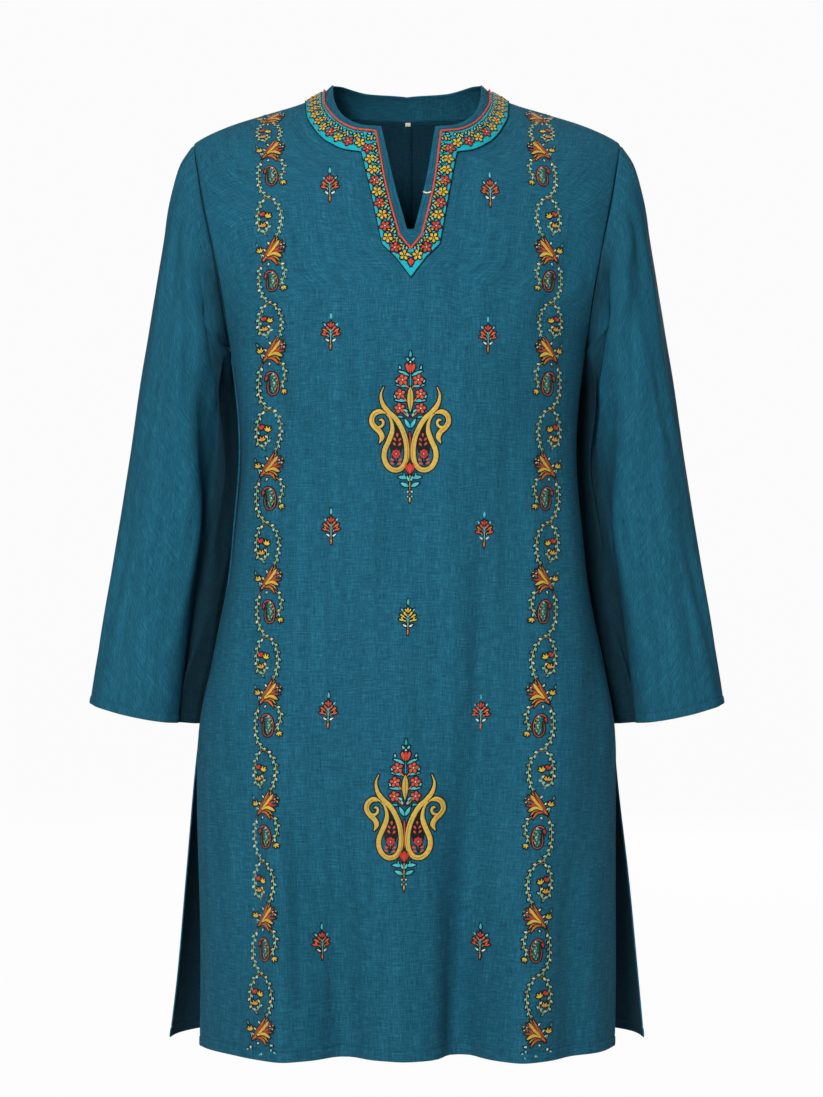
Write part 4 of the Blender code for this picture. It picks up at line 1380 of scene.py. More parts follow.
def makeLargeMotif():
    # a flowering spray that rises between two gold scrolls
    scroll = [
        (-24.6, 36.5), (-27.2, 29.5), (-25.6, 21.0), (-20.4, 13.6), (-13.6, 7.4), (-8.2, -1.2),
        (-4.4, -11.4), (-3.0, -22.0), (-4.0, -32.0), (-8.2, -38.6), (-14.6, -40.2), (-20.4, -36.8),
        (-23.8, -29.6), (-23.4, -21.6), (-19.8, -13.2), (-16.8, -4.8), (-16.8, 2.0), (-19.2, 8.4),
        (-24.0, 12.4),
    ]
    curl = [
        (-22.6, 12.4), (-29.2, 13.8), (-34.2, 10.4), (-35.4, 4.4), (-32.4, -0.8),
        (-28.0, -5.0), (-26.0, -9.8), (-28.4, -15.4),
    ]
    innerCurl = [(-32.6, 1.0), (-29.4, -0.8), (-26.0, 0.8), (-24.9, 4.0), (-26.8, 6.4), (-28.8, 5.4)]
    seed = [(-13.4, 1.6), (-12.6, -8.0), (-12.6, -18.0), (-13.2, -27.0), (-13.6, -36.0)]
    seedStem = [(-11.6, -8.4), (-12.2, -18.0), (-13.0, -32.4)]
    scrollLine = [(x + 0.9, y - 0.2) for x, y in scroll[5:12]]
    curlLine = [(x + 0.7, y + 0.3) for x, y in curl[1:6]]
    half = [
        strip(seed, 14.6, "night", profile="drop", rows=16, columns=5, outline=False),
        strip(scroll, 4.4, "gold", profile="horn", rows=76, columns=5, layer=2),
        strip(curl, 4.5, "gold", profile="horn", rows=32, columns=5, layer=3),
        strip(innerCurl, 2.3, "gold", profile="horn", rows=16, columns=5, layer=3),
        stitchLine(scrollLine, "olive", rows=26),
        stitchLine(curlLine, "olive", width=0.45, rows=18, layer=7),
        stitchLine(seedStem, "turquoise", rows=10, layer=1),
    ]
    petal = {"rows": 5, "layer": 2, "outline": False}
    upper = (
        (-11.8, -9.6, 92), (-13.2, -13.2, 125), (-10.6, -13.6, 58), (-13.4, -17.4, 130), (-10.6, -17.8, 52),
    )
    half += [petalLeaf(*base, 3.5, 1.9, "coral", **petal) for base in upper]
    half += blossom(-12.8, -25.2, 4.2, 7, "red", "cream", layer=2, outline=False)
    lower = ((-14.6, -31.2, 160), (-11.0, -31.4, 20), (-14.6, -34.4, 165), (-11.6, -34.8, 15))
    half += [petalLeaf(*base, 3.7, 2.0, "coral", **petal) for base in lower]
    for x, y, reach in ((-7.3, 43.0, 4.9), (-9.4, 30.0, 4.7), (-9.8, 16.8, 4.7)):
        half += blossom(x, y, reach, 5, "coral", "white", turn=100, layer=3)
        stalk = [(x * 0.16, y - 8.0), (x * 0.5, y - 5.2), (x * 0.8, y - 1.6)]
        half.append(stem(stalk, 1.0, "orange", layer=2))
    for x, y, angle, bend in ((-1.2, 46.6, 143, 2.4), (-2.4, 36.6, 158, 2.6), (-3.4, 23.4, 164, 2.2)):
        half.append(leaf(x, y, angle, 10.8, 2.5, "turquoise", bend=bend, tip="cyan", rows=8, layer=1))
        half.append(dropLeaf(*steered(x, y, angle, 10.4), angle - 42, 3.2, 1.7, "cyan", layer=2))
    half += [
        dropLeaf(-1.5, 60.6, 128, 3.6, 1.9, "cyan", layer=1),
        dropLeaf(-2.6, 13.6, 152, 4.4, 2.2, "cyan", layer=2),
        dropLeaf(-6.8, 8.6, 172, 5.0, 2.0, "turquoise", layer=2),
        dropLeaf(-1.6, 9.6, 120, 4.0, 1.5, "cyan", layer=2),
        leaf(-0.4, -1.2, 124, 9.4, 3.0, "turquoise", bend=-0.8, tip="cyan", rows=8, layer=3),
        leaf(-2.4, -47.6, 168, 8.4, 3.2, "turquoise", bend=1.0, tip="cyan", rows=7, layer=2),
        leaf(-1.2, -55.6, 150, 8.2, 3.3, "turquoise", bend=0.8, tip="cyan", rows=7, layer=2),
        dropLeaf(-1.0, -50.4, 108, 5.2, 1.7, "cyan", layer=2),
        dropLeaf(-5.2, -46.4, 96, 3.8, 1.3, "turquoise", layer=2),
        bead(-1.9, -60.4, 0.95, "cream"),
        bead(-2.0, -64.8, 0.95, "cyan"),
    ]
    middle = [
        dropLeaf(0, 64.0, 90, 5.6, 2.3, "turquoise", layer=1),
        bead(0, 59.4, 0.9, "white"),
        stem([(0, 58.0), (0, 44.0), (0, 36.4)], 0.9, "turquoise", rows=8),
        petalLeaf(0, 49.4, 90, 8.8, 3.4, "coral", layer=3, tip="red"),
        petalLeaf(-1.6, 50.0, 112, 8.2, 3.0, "coral", bend=-1.5, layer=2),
        petalLeaf(1.6, 50.0, 68, 8.2, 3.0, "coral", bend=1.5, layer=2),
        strip([(0, 36.4), (0, 25.0), (0, 13.4)], 5.4, "gold", rows=12, columns=5, layer=3),
        stitchLine([(0, 35.0), (0, 25.0), (0, 15.0)], "olive", width=0.7, rows=8),
        stem([(-0.4, -5.0), (0.2, -16.0), (-0.1, -31.0)], 1.1, "red", rows=12, layer=1, tip="orange"),
        petalLeaf(0, -43.6, 90, 10.0, 3.4, "coral", layer=4, tip="red"),
        petalLeaf(-1.2, -43.0, 118, 8.4, 3.2, "red", bend=-2.2, layer=3),
        petalLeaf(1.2, -43.0, 62, 8.4, 3.2, "red", bend=2.2, layer=3),
        stem([(0, -44.0), (0, -52.0), (0, -60.0)], 0.9, "gold", rows=8, layer=1),
        bead(0, -52.4, 0.7, "gold"),
        bead(0, -57.6, 0.7, "orange"),
        bead(0, -62.6, 0.6, "gold"),
        dropLeaf(0, -65.4, -90, 5.0, 1.6, "gold", layer=1),
    ]
    return bothSides(half) + middle


# The creeper. One unit hangs from the foot of its fan at (0, 0) to the next fan's foot, and
# is drawn for the wearer's right; y is up, so the creeper goes down from nought.

creeper = {
    "length": 104.0,
    "join": 44.0,       # from the fan's foot to where the spiral leaves the stem
    "leafSize": 3.2,
    "leafWidth": 0.60,
    "leafOff": 0.75,
    "leafLean": 36.0,
    "leafSpacing": 6.6,
    "stemWidth": 0.70,
    "stemRow": 2.6,
    "leaves": ("cream", "cyan", "mint", "cyan", "slate", "mint", "cyan"),
}


def stemWithLeaves(points, start=0.0):
    # a stem with small leaves down both sides, leaning the way it grows
    rows = max(int(runAlong(smoothLine(points, 40))[-1] / creeper["stemRow"]), 5)
    made = [stem(points, creeper["stemWidth"], "olive", rows=rows, tip="gold")]
    dense = smoothLine(points, 60)
    lengths = runAlong(dense)
    spacing = creeper["leafSpacing"]
    size = creeper["leafSize"]
    for index, place in enumerate(np.arange(start + spacing / 2, lengths[-1] - spacing * 0.3, spacing / 2)):
        x, y = [np.interp(place, lengths, dense[:, axis]) for axis in (0, 1)]
        near = min(int(np.searchsorted(lengths, place)), len(dense) - 2)
        onward = dense[near + 1] - dense[near - 1]
        lean = creeper["leafLean"] if index % 2 == 0 else -creeper["leafLean"]
        angle = math.degrees(math.atan2(onward[1], onward[0])) + lean
        colour = creeper["leaves"][index % len(creeper["leaves"])]
        base = steered(x, y, angle, creeper["leafOff"])
        made.append(dropLeaf(*base, angle, size, size * creeper["leafWidth"], colour, rows=5))
    return made


def threeBud(x, y, angle, size, colour, tip="yellow"):
    made = []
    width = size * flowerForm["budWidth"]
    for lean, reach in flowerForm["budLeaves"]:
        made.append(leaf(x, y, angle + lean, size * reach, width, colour, rows=5, layer=1, tip=tip))
    return made


def makeFan():
    outer = {"rows": 11, "layer": 1, "tip": "orange"}
    inner = {"rows": 11, "layer": 2, "tip": "gold"}
    lip = {"rows": 10, "layer": 4, "profile": "petal", "tip": "gold"}
    made = [
        strip([(0, 0), (3.4, 6.8), (7.8, 14.0), (12.0, 22.4)], 2.8, "rust", **outer),
        strip([(0.8, 0.8), (5.4, 7.8), (10.2, 14.8), (14.6, 22.0)], 2.4, "orange", **inner),
        strip([(0, 0), (5.0, 3.6), (10.0, 2.6), (14.0, -2.8)], 2.8, "rust", **outer),
        strip([(0.8, 0.8), (6.0, 5.2), (11.6, 4.6), (16.2, 0.6)], 2.2, "orange", **inner),
        strip([(9.0, 9.0), (14.6, 11.8), (21.4, 14.6)], 7.0, "maroon", rows=8, layer=1, columns=5),
        strip([(9.4, 9.6), (14.4, 9.4), (20.4, 9.8)], 2.2, "red", rows=8, layer=3, tip="rust"),
        strip([(9.8, 10.8), (14.2, 14.6), (18.6, 19.2)], 2.2, "red", rows=8, layer=3, tip="rust"),
        strip([(10.6, 10.2), (15.4, 12.2), (20.0, 14.4)], 1.8, "red", rows=8, layer=3, tip="orange"),
        strip([(5.0, 5.6), (10.4, 12.0), (16.2, 19.8)], 2.7, "yellow", **lip),
        strip([(5.2, 5.2), (11.4, 7.6), (18.2, 4.6)], 2.7, "yellow", **lip),
        stitchLine([(1.4, 2.2), (6.0, 8.8), (11.4, 16.4), (13.6, 20.6)], "maroon", layer=7, rows=11),
        stitchLine([(3.4, 4.8), (8.6, 11.0), (14.0, 18.6)], "orange", layer=8, rows=9),
        stitchLine([(2.2, 1.6), (7.2, 4.6), (12.0, 4.0), (15.0, 1.4)], "maroon", layer=7, rows=11),
        stitchLine([(4.4, 3.6), (9.6, 5.8), (14.8, 4.4)], "maroon", layer=8, rows=9),
        stitchLine([(0.6, 1.8), (4.8, 9.4), (9.2, 16.8)], "maroon", layer=4, rows=9),
        bead(18.0, 15.6, 0.70, "cream", layer=5),
        bead(20.4, 13.0, 0.70, "cream", layer=5),
        bead(15.8, 12.6, 0.65, "slate", layer=5),
        bead(20.8, 16.4, 0.60, "yellow", layer=5),
        bead(17.6, 12.0, 0.50, "slate", layer=5),
    ]
    made.append(stem([(0, 2.4), (-1.0, 5.6), (-1.6, 8.2)], 0.7, "mint", rows=5))
    made += threeBud(-1.7, 8.6, 104, 4.8, "gold")
    made.append(dropLeaf(-4.2, 14.4, 112, 3.2, 1.4, "slate"))
    for base in ((3.2, 9.8, 128), (6.8, 16.2, 126), (2.0, 5.0, 146)):
        made.append(dropLeaf(*base, 3.1, 1.6, "cream"))
    return made + [dropLeaf(6.4, -1.0, -118, 2.8, 1.4, "cream")]


paisley = {
    "ring": (
        (-4.6, 2.4), (-5.0, 6.2), (-2.4, 9.4), (1.4, 8.8), (4.0, 4.4), (4.8, -2.0),
        (3.6, -8.4), (0.2, -10.6), (-2.8, -8.2), (-3.6, -2.4), (-2.8, 2.6),
    ),
    "ringWidth": 0.80,
    "fill": 8.6,
    "broad": 1.16,      # drawn narrower than it is sewn
    "stitchColours": ("mint", "cream", "night", "lime", "slate", "navy", "mint", "gold", "night"),
    # across, up and angle of each short stitch inside
    "stitches": (
        (-0.6, 6.4, 60), (1.4, 6.6, 100), (-1.6, 4.2, 120), (0.6, 4.0, 40), (2.4, 4.0, 80),
        (-1.0, 1.8, 60), (1.2, 1.4, 130), (3.0, 1.2, 60), (-2.0, -0.6, 90), (0.2, -0.8, 45),
        (2.2, -1.4, 110), (-1.2, -3.2, 120), (0.8, -3.6, 70), (2.8, -4.0, 40), (-2.0, -5.6, 70),
        (0.0, -6.0, 110), (1.8, -6.4, 60), (-0.8, -8.2, 40), (1.0, -8.6, 120),
    ),
}


def makePaisley(x, y):
    # a leaning drop with a hooked tip, filled with short stitches
    ground = [(0.2, 8.4), (0.6, 2.0), (0.8, -9.4)]
    made = [
        strip(ground, paisley["fill"], "green", profile="drop", rows=10, columns=5),
        stem(paisley["ring"], paisley["ringWidth"], "coral", rows=34, layer=2, tip="rust"),
        dropLeaf(-4.2, 6.4, -104, 4.2, 2.0, "red", layer=3),
    ]
    colours = paisley["stitchColours"]
    for index, spot in enumerate(paisley["stitches"]):
        made.append(leaf(*spot, 2.6, 0.95, colours[index % len(colours)], layer=3, rows=4, outline=False))
    for item in made:
        item["line"] = item["line"] * np.array([paisley["broad"], 1]) + np.array([x, y])
    return made


def makePaisleyHalf():
    outer = [
        (0, -1.6), (-2.4, -6.6), (-3.4, -15.4), (-3.2, -25.0),
        (-1.6, -33.0), (2.0, -39.2), (7.2, -43.8),
    ]
    inner = [(12.6, 0.2), (17.4, -2.8), (20.6, -8.6), (20.4, -15.4), (18.4, -20.6), (15.8, -24.6)]
    stems = stemWithLeaves(outer) + stemWithLeaves(inner, start=1.5)
    return stems + threeBud(19.4, -25.6, -70, 4.4, "gold") + makePaisley(8.6, -19.4)


def makeSpiralHalf():
    outer = [
        (6.4, -42.8), (12.8, -47.6), (16.4, -54.0), (18.0, -61.2),
        (17.6, -68.6), (15.4, -76.6), (12.8, -82.4),
    ]
    inner = [
        (6.6, -43.4), (1.4, -44.6), (-1.8, -50.0), (-3.4, -56.6), (-3.8, -63.8), (-3.0, -71.0),
        (-0.4, -76.0), (3.4, -76.4), (5.8, -71.6), (5.6, -65.2),
    ]
    made = stemWithLeaves(outer) + stemWithLeaves(inner, start=1.0)
    made += [
        petalLeaf(1.0, -61.0, 84, 4.2, 3.0, "red", layer=2),
        petalLeaf(0.2, -61.2, 116, 3.4, 2.0, "coral", layer=1),
    ]
    return made + threeBud(5.4, -62.8, 76, 5.0, "yellow") + threeBud(1.4, -71.6, 96, 4.6, "orange")


fan = makeFan()
paisleyHalf = makePaisleyHalf()
spiralHalf = makeSpiralHalf()

bands = {
    # the feet of the fans, from the shoulder down, and how far each band's are from the middle
    "fanHeights": (-0.0244, -0.0629, -0.1630, -0.2551, -0.3628, -0.4688, -0.5750, -0.6781, -0.7819, -0.8872),
    "fanAcross": {
        -1: (-0.1387, -0.1376, -0.1370, -0.1371, -0.1381, -0.1383, -0.1383, -0.1398, -0.1399, -0.1425),
        1: (0.1344, 0.1337, 0.1391, 0.1409, 0.1394, 0.1357, 0.1320, 0.1319, 0.1303, 0.1306),
    },
    "measuredIn": 0.008,  # heights are measured this far inside the fans' mean place
    "samples": 600,
    "belowShoulder": 0.0004,
    "shoulderMargin": 0.003,
    "hemMargin": 0.0035,
}


def keptInside(motif, toPattern, lowest, highest):
    kept = []
    for item in motif:
        points = toPattern(np.array([item["at"]]) if item["kind"] == "bead" else item["line"])
        if points[:, 1].min() > lowest and points[:, 1].max() < highest:
            kept.append(item)
    return kept


def makeBand(name, mirror):
    anchorHeights = np.array(bands["fanHeights"])[::-1]
    anchorAcross = np.array(bands["fanAcross"][mirror])[::-1]
    middle = anchorAcross.mean() - mirror * bands["measuredIn"]
    top = float(shoulderHeight(abs(middle))) - bands["belowShoulder"]
    turns = np.linspace(0, math.pi / 2, bands["samples"])
    heights = tunic["hem"] + (top - tunic["hem"]) * np.sin(turns)
    run = runAlong(clothPoint(front, np.full(len(turns), middle), heights)[0])

    def toCloth(offset, up, lift):
        height = np.interp(up, run, heights)
        across = np.interp(height, anchorHeights, anchorAcross) + offset
        height = np.minimum(height, shoulderHeight(np.abs(across)) - bands["belowShoulder"])
        return clothPoint(front, across, height, lift)[0]

    length = creeper["length"]
    feet = [float(np.interp(height, heights, run)) for height in bands["fanHeights"]]
    feet.append(feet[-1] - length * millimetre)
    # only a spiral fits between the first two fans; another runs up from the first to the shoulder
    firstStretch = (feet[0] - feet[1]) / (length - creeper["join"])
    sets = [
        (spiralHalf, feet[0] + creeper["join"] * firstStretch, firstStretch),
        (spiralHalf, feet[0] + length * millimetre, millimetre),
        (fan, feet[0], millimetre),
    ]
    for foot, following in zip(feet[1:], feet[2:]):
        stretch = (foot - following) / length
        sets += [(paisleyHalf, foot, stretch), (spiralHalf, foot, stretch), (fan, foot, millimetre)]
    work = []
    for motif, foot, stretch in sets:
        drawn = motif if mirror < 0 else mirrorMotif(motif)

        def toPattern(points, foot=foot, stretch=stretch):
            return np.stack([points[:, 0] * millimetre, foot + points[:, 1] * stretch], -1)

        inside = keptInside(drawn, toPattern, bands["hemMargin"], run[-1] - bands["shoulderMargin"])
        sewMotif(work, inside, toPattern)
    return layWork(name, work, toCloth)


bandRight = makeBand("creeper_right", -1)
bandLeft = makeBand("creeper_left", 1)

frontMotifs = {
    # petal, inner and tip colours, then the places
    "sprigs": (
        (("coral", "orange", "red"), (
            (-0.0739, -0.0925), (0.0749, -0.0970), (-0.0732, -0.2300), (0.0722, -0.2328), (-0.0725, -0.4105),
            (0.0703, -0.4132), (-0.0735, -0.5808), (0.0683, -0.5828), (-0.0780, -0.7970), (0.0704, -0.7976),
        )),
        (("yellow", "gold", "gold"), ((-0.0009, -0.4942),)),
    ),
    "sprigSize": 1.10,
    "large": ((-0.0002, -0.3171), (-0.0007, -0.6755)),
}


def sewAt(work, motif, places, size=1.0):
    for place in places:
        sewMotif(work, motif, lambda points: points * millimetre * size + np.array(place))


def layOnFront(name, work):
    return layWork(name, work, lambda across, height, lift: clothPoint(front, across, height, lift)[0])


sprigWork = []
for colours, places in frontMotifs["sprigs"]:
    sewAt(sprigWork, makeSprig(*colours), places, frontMotifs["sprigSize"])
sprigPiece = layOnFront("sprigs", sprigWork)
motifWork = []
sewAt(motifWork, makeLargeMotif(), frontMotifs["large"])
motifPiece = layOnFront("large_motifs", motifWork)


# Seams, cords, lines of stitches and the neck's own embroidery

trims = {
    "allowanceDepth": 0.0017,  # behind the outer face of the cloth
    "allowanceThick": 0.0004,
    "edgingSunk": 0.0002,
    "edgingRadius": 0.0005,
    "edgingFlat": 0.7,
    "footShare": 0.93,   # of the way from the opening to the band's foot
    "barRadius": 0.0006,
    "barHeight": -0.0997,
    "barSag": 0.0010,
    "cordSides": 10,
    "stitchPitch": 0.0033,
    "stitchLength": 0.0025,
    "stitchWidth": 0.00050,
    "stitchDome": 0.00028,
    "stitchSunk": 0.00004,
    # rows in from the edge, and a share of the next, where the lines of stitches lie
    "hemStitches": (9, 0.5),
    "slitStitches": (5, 0.25),
    "cuffStitches": (7, 0.4),
    "neckStitches": 0.16,
    "threadLift": 0.0001,
    "footTo": 7,    # how far along the neck the band's foot is stitched down inside
}


def acrossSeam(pairs, axis):
    # a strip of cloth behind a seam; pairs are the places and then the normals of its edges
    places, normals = [np.concatenate(pair, axis=axis) for pair in pairs]
    sunk = places - normals * trims["allowanceDepth"]
    return sunk, squareMap(sunk), normals


def makeAllowances():
    inner, _, _, underarmRow = panelEnds(back)
    slitRow = int(np.searchsorted(inner[:, 1], tunic["slitTop"]))
    middleRows = inner[:, 0] == 0
    strips = []
    for mirror, frontGrid in zip((-1, 1), frontGrids):
        sides = []
        shoulders = []
        rings = []
        for part in (0, 2):
            one = frontGrid[part]
            two = backGrids[mirror][part]
            sides.append((one[slitRow:underarmRow + 1, -5:], two[slitRow:underarmRow + 1, :-6:-1]))
            shoulders.append((one[-3:], two[:-4:-1]))
            panel = np.concatenate([one[underarmRow:, -4:][::-1], two[underarmRow + 1:, -4:]])
            rings.append((panel, sleeveGrids[mirror][part][:4].transpose(1, 0, 2)))
        strips += [acrossSeam(sides, 1), acrossSeam(shoulders, 0), acrossSeam(rings, 1)]
    halves = []
    for part in (0, 2):
        left, right = [backGrids[mirror][part][middleRows] for mirror in (1, -1)]
        halves.append((left[:, 1::-1], right[:, :2]))
    strips.append(acrossSeam(halves, 1))
    # the allowances take the inside's darker colour, painted shade
    piece = gridPiece("seam_allowances", strips, finishes["tealInsideShaded"])
    giveThickness(piece, trims["allowanceThick"])
    dress(piece)
    return piece


def cordGrid(path, normals, radius, flat=1.0):
    # rings round a cord that follows a path, mitred at its corners
    ahead = unit(np.diff(path, axis=0))
    leaving = np.concatenate([ahead, ahead[-1:]])
    along = unit(np.concatenate([ahead[:1], ahead]) + leaving)
    sideways = unit(np.cross(along, normals))
    upwards = np.cross(sideways, along)
    mitre = 1 / np.maximum(np.sum(along * leaving, -1, keepdims=True), 0.6)
    angle = np.linspace(0, 2 * math.pi, trims["cordSides"] + 1)[:, None, None]
    spokes = np.cos(angle) * sideways * mitre + np.sin(angle) * upwards * flat
    places = path + radius * spokes
    around = np.linspace(0, 2 * math.pi * radius, trims["cordSides"] + 1)
    weaveMap = np.stack(np.broadcast_arrays(runAlong(path)[None, :], around[:, None]), -1)
    return places, weaveMap, spokes


def neckCord(name, edge, lift, radius, finish, flat=1.0):
    places, _, normals = neckGrid(edge, edge, [0], [lift], neckAlongs)
    cord = cordGrid(places[0], normals[0], radius, flat)
    cord[0][:, [0, -1], 0] = 0
    return gridPiece(name, [cord], finishes[finish])


def makeBar():
    # a thread loop across the band, from the slit's edge to the piping, on the wearer's left
    alongs = np.linspace(neck["cornerAt"], neck["tipCornerAt"], 200)
    heights = heightAtTurn(openingEdge(alongs)[:, 0], openingEdge(alongs)[:, 1])
    along = alongs[int(np.argmin(np.abs(heights - trims["barHeight"])))]
    shares = np.linspace(0, 1, 13)
    start = openingEdge(np.array([along]))
    edge = start + (pipingEdge(np.array([along])) - start) * shares[:, None]
    path, normals = neckPlace(edge, 1, trims["barRadius"])
    path[:, 2] += path[0, 2] - path[:, 2]
    path[:, 2] -= trims["barSag"] * np.sin(math.pi * shares)
    bar = gridPiece("thread_loop", [cordGrid(path, normals, trims["barRadius"])], finishes["creamCord"])
    closeEnds(bar)
    dress(bar)


def closeEnds(piece):
    work = bmesh.new()
    work.from_mesh(piece.data)
    bmesh.ops.holes_fill(work, edges=[edge for edge in work.edges if edge.is_boundary], sides=0)
    work.to_mesh(piece.data)
    work.free()
    piece.data.shade_smooth()


neckLabel = {
    "width": 0.0060,
    "height": 0.0034,
    "across": 0.0010,
    "aboveSeam": 0.0012,
    "gap": 0.0006,
    "behindCloth": 0.0024,
    "edgeTurn": 0.0003,
    "thick": 0.0007,
}


def makeLabel():
    # a small blank tag, sewn down inside the back of the neck
    seam = seamEdge(np.array([0.0]))[0]
    top = float(heightAtTurn(seam[0], seam[1])) + neckLabel["aboveSeam"]
    across = neckLabel["across"] + neckLabel["width"] * np.linspace(-0.5, 0.5, 13)
    heights = np.linspace(top - neckLabel["height"], top, 9)
    point, normal = clothPoint(back, across[None, :], heights[:, None])
    inwards = [1 - np.abs(np.linspace(-1, 1, count)) for count in (13, 9)]
    edge = np.minimum(inwards[0][None, :], inwards[1][:, None])
    bent = neckLabel["edgeTurn"] * np.clip(1 - edge * 6, 0, 1)
    places = point - normal * (neckLabel["behindCloth"] + neckLabel["gap"] - bent)[..., None]
    label = gridPiece("blank_label", [(places, squareMap(places), -normal)], finishes["creamLabel"])
    giveThickness(label, neckLabel["thick"])
    dress(label, "neck_label")


def sewFramed(work, motif, centre, frame):
    # sews a motif flat onto its own small place; the frame is its x, y and way out
    local = []
    sewMotif(local, motif, lambda points: points * millimetre)
    work += [(mesh, centre + places @ frame, colours, lies) for mesh, places, colours, lies in local]


def inPlace(across, up, lift):
    return np.stack([across, up, lift], -1)


def borderFrame(along, share, mirror):
    # the middle and the frame of a place on the embroidered strip; y runs to its outer edge
    def at(place, part):
        start = pipingEdge(np.array([place]))
        edge = start + (borderEdge(np.array([place])) - start) * part
        point, normal = neckPlace(edge, mirror, borderTop)
        return point[0], normal[0]

    point, normal = at(along, share)
    step, part = borderWork["frameStep"]
    onward = at(min(along + step, neck["tipAt"]), share)[0] - at(max(along - step, 0), share)[0]
    outward = at(along, share + part)[0] - at(along, share - part)[0]
    onward = unit(onward)
    outward = unit(outward - onward * (outward @ onward))
    outward = unit(outward - normal * (outward @ normal))
    return point, np.array([np.cross(outward, normal), outward, normal])


def makeBorderFlower(petal, centre, tip):
    return blossom(0, 0, borderWork["reach"], 5, petal, centre, width=borderWork["width"], layer=2, tip=tip)


def makeBorderCluster(first, second):
    # leaves and a bud between two flowers, growing from the piping
    runner = [(-5.4, -2.4), (-2.6, -3.8), (0.4, -2.6), (3.2, -3.8), (5.4, -2.4)]
    raised = {"rows": 5, "layer": 1}
    return [
        stem(runner, 0.9, "navy", rows=9, outline=False),
        stem([(-2.4, -3.0), (-1.0, -0.4), (0.2, 2.4)], 0.8, "navy", rows=5, outline=False),
        stem([(2.8, -3.0), (1.6, -0.6), (0.6, 2.0)], 0.8, "navy", rows=5, outline=False),
        dropLeaf(-1.0, -1.6, 136, 3.9, 1.9, first, **raised),
        dropLeaf(0.2, -1.4, 44, 3.9, 1.9, second, **raised),
        dropLeaf(2.4, -3.6, 40, 3.2, 1.7, "mint", **raised),
        dropLeaf(-2.8, -3.6, 132, 3.0, 1.7, "cyan", **raised),
        dropLeaf(0.0, -3.4, 88, 2.6, 1.3, "lime", **raised),
        petalLeaf(0.0, 0.6, 92, 2.8, 1.7, "orange", rows=5, layer=2, tip="yellow"),
    ]


borderWork = {
    "reach": 4.7,
    "width": 0.56,
    "share": 0.62,
    "tipShare": 0.56,
    "tulipShare": 0.53,
    "frameStep": (0.2, 0.1),  # along and across, to find which way the strip runs
    "clusterShare": 0.34,
    "first": 0.0106,     # from the tip to the first flower
    "spacing": 0.0113,
    "cornerFlower": 9,   # the flower on the slit's corner, where yellow comes twice
    "orangeFrom": 15,
    "leaves": (("lime", "cyan"), ("mint", "olive"), ("cyan", "lime"), ("yellow", "mint")),
}
tulip = [
    petalLeaf(0, -3.6, 118, 6.4, 2.6, "coral", bend=-1.4, layer=1, tip="red"),
    petalLeaf(0, -3.6, 62, 6.4, 2.6, "coral", bend=1.4, layer=1, tip="red"),
    petalLeaf(0, -3.8, 90, 7.4, 2.6, "red", layer=2, tip="coral"),
    dropLeaf(0, 5.2, 132, 3.4, 1.5, "cyan"),
    dropLeaf(0, 5.2, 48, 3.4, 1.5, "cyan"),
]


def makeBorderWork():
    work = []
    dense = np.linspace(0, neck["tipAt"], 1101)
    edges = pipingEdge(dense) + (borderEdge(dense) - pipingEdge(dense)) * borderWork["share"]
    run = runAlong(neckPlace(edges, 1, borderTop)[0])
    count = int((run[-1] - borderWork["first"]) / borderWork["spacing"]) + 1
    spacing = (run[-1] - borderWork["first"]) / (count - 0.5)
    for mirror in (1, -1):
        for index in range(count):
            fromTip = borderWork["first"] + index * spacing
            along, between = np.interp(run[-1] - fromTip - np.array([0, spacing / 2]), run, dense).tolist()
            yellow = (index % 2 == 0) == (index < borderWork["cornerFlower"])
            colours = ("yellow", "orange", "gold") if yellow else ("coral", "cream", "red")
            if index >= borderWork["orangeFrom"] and not yellow:
                colours = ("orange", "yellow", "yellow")
            share = borderWork["tipShare"] if index == 0 else borderWork["share"]
            sewFramed(work, makeBorderFlower(*colours), *borderFrame(along, share, mirror))
            cluster = makeBorderCluster(*borderWork["leaves"][index % len(borderWork["leaves"])])
            if mirror < 0:
                cluster = mirrorMotif(cluster)
            sewFramed(work, cluster, *borderFrame(between, borderWork["clusterShare"], mirror))
    point = borderFrame(neck["tipAt"], borderWork["tulipShare"], 1)[0]
    upright = np.array([[1, 0, 0], [0, 0, 1], [0, -1, 0]], float)
    sewFramed(work, tulip, point, upright)
    return layWork("border_flowers", work, inPlace)


def gridLine(places, normals, index, share):
    # the line a share of the way between two neighbouring rows
    return [rows[index] + (rows[index + 1] - rows[index]) * share for rows in (places, normals)]


def turned(rows):
    # a panel's rows with its outer edge as the first of them
    return rows[:, ::-1].transpose(1, 0, 2)


def sewStitches(work, path, normals, colour):
    run = runAlong(path)
    count = max(int(run[-1] / trims["stitchPitch"]), 1)
    ends = np.array([-0.5, 0, 0.5]) * trims["stitchLength"]
    line = np.stack([np.linspace(ends[0], ends[2], 4), np.zeros(4)], -1)
    widths = trims["stitchWidth"] * profiles["stem"](np.linspace(0, 1, 4))
    one = []
    tones = np.tile(threadRgb[colour], (4, 1))
    sewStrip(one, line, widths, trims["stitchDome"], -trims["stitchSunk"], tones, 3)
    mesh, places, colours, lies = one[0]
    for place in (np.arange(count) + 0.5) * run[-1] / count:
        spots = [np.interp(place + ends, run, path[:, axis]) for axis in range(3)]
        before, centre, after = np.stack(spots, -1)
        out = unit(np.array([np.interp(place, run, normals[:, axis]) for axis in range(3)]))
        along = unit(after - before)
        frameHere = np.array([along, unit(np.cross(out, along)), out])
        work.append((mesh, centre + places @ frameHere, colours, lies))


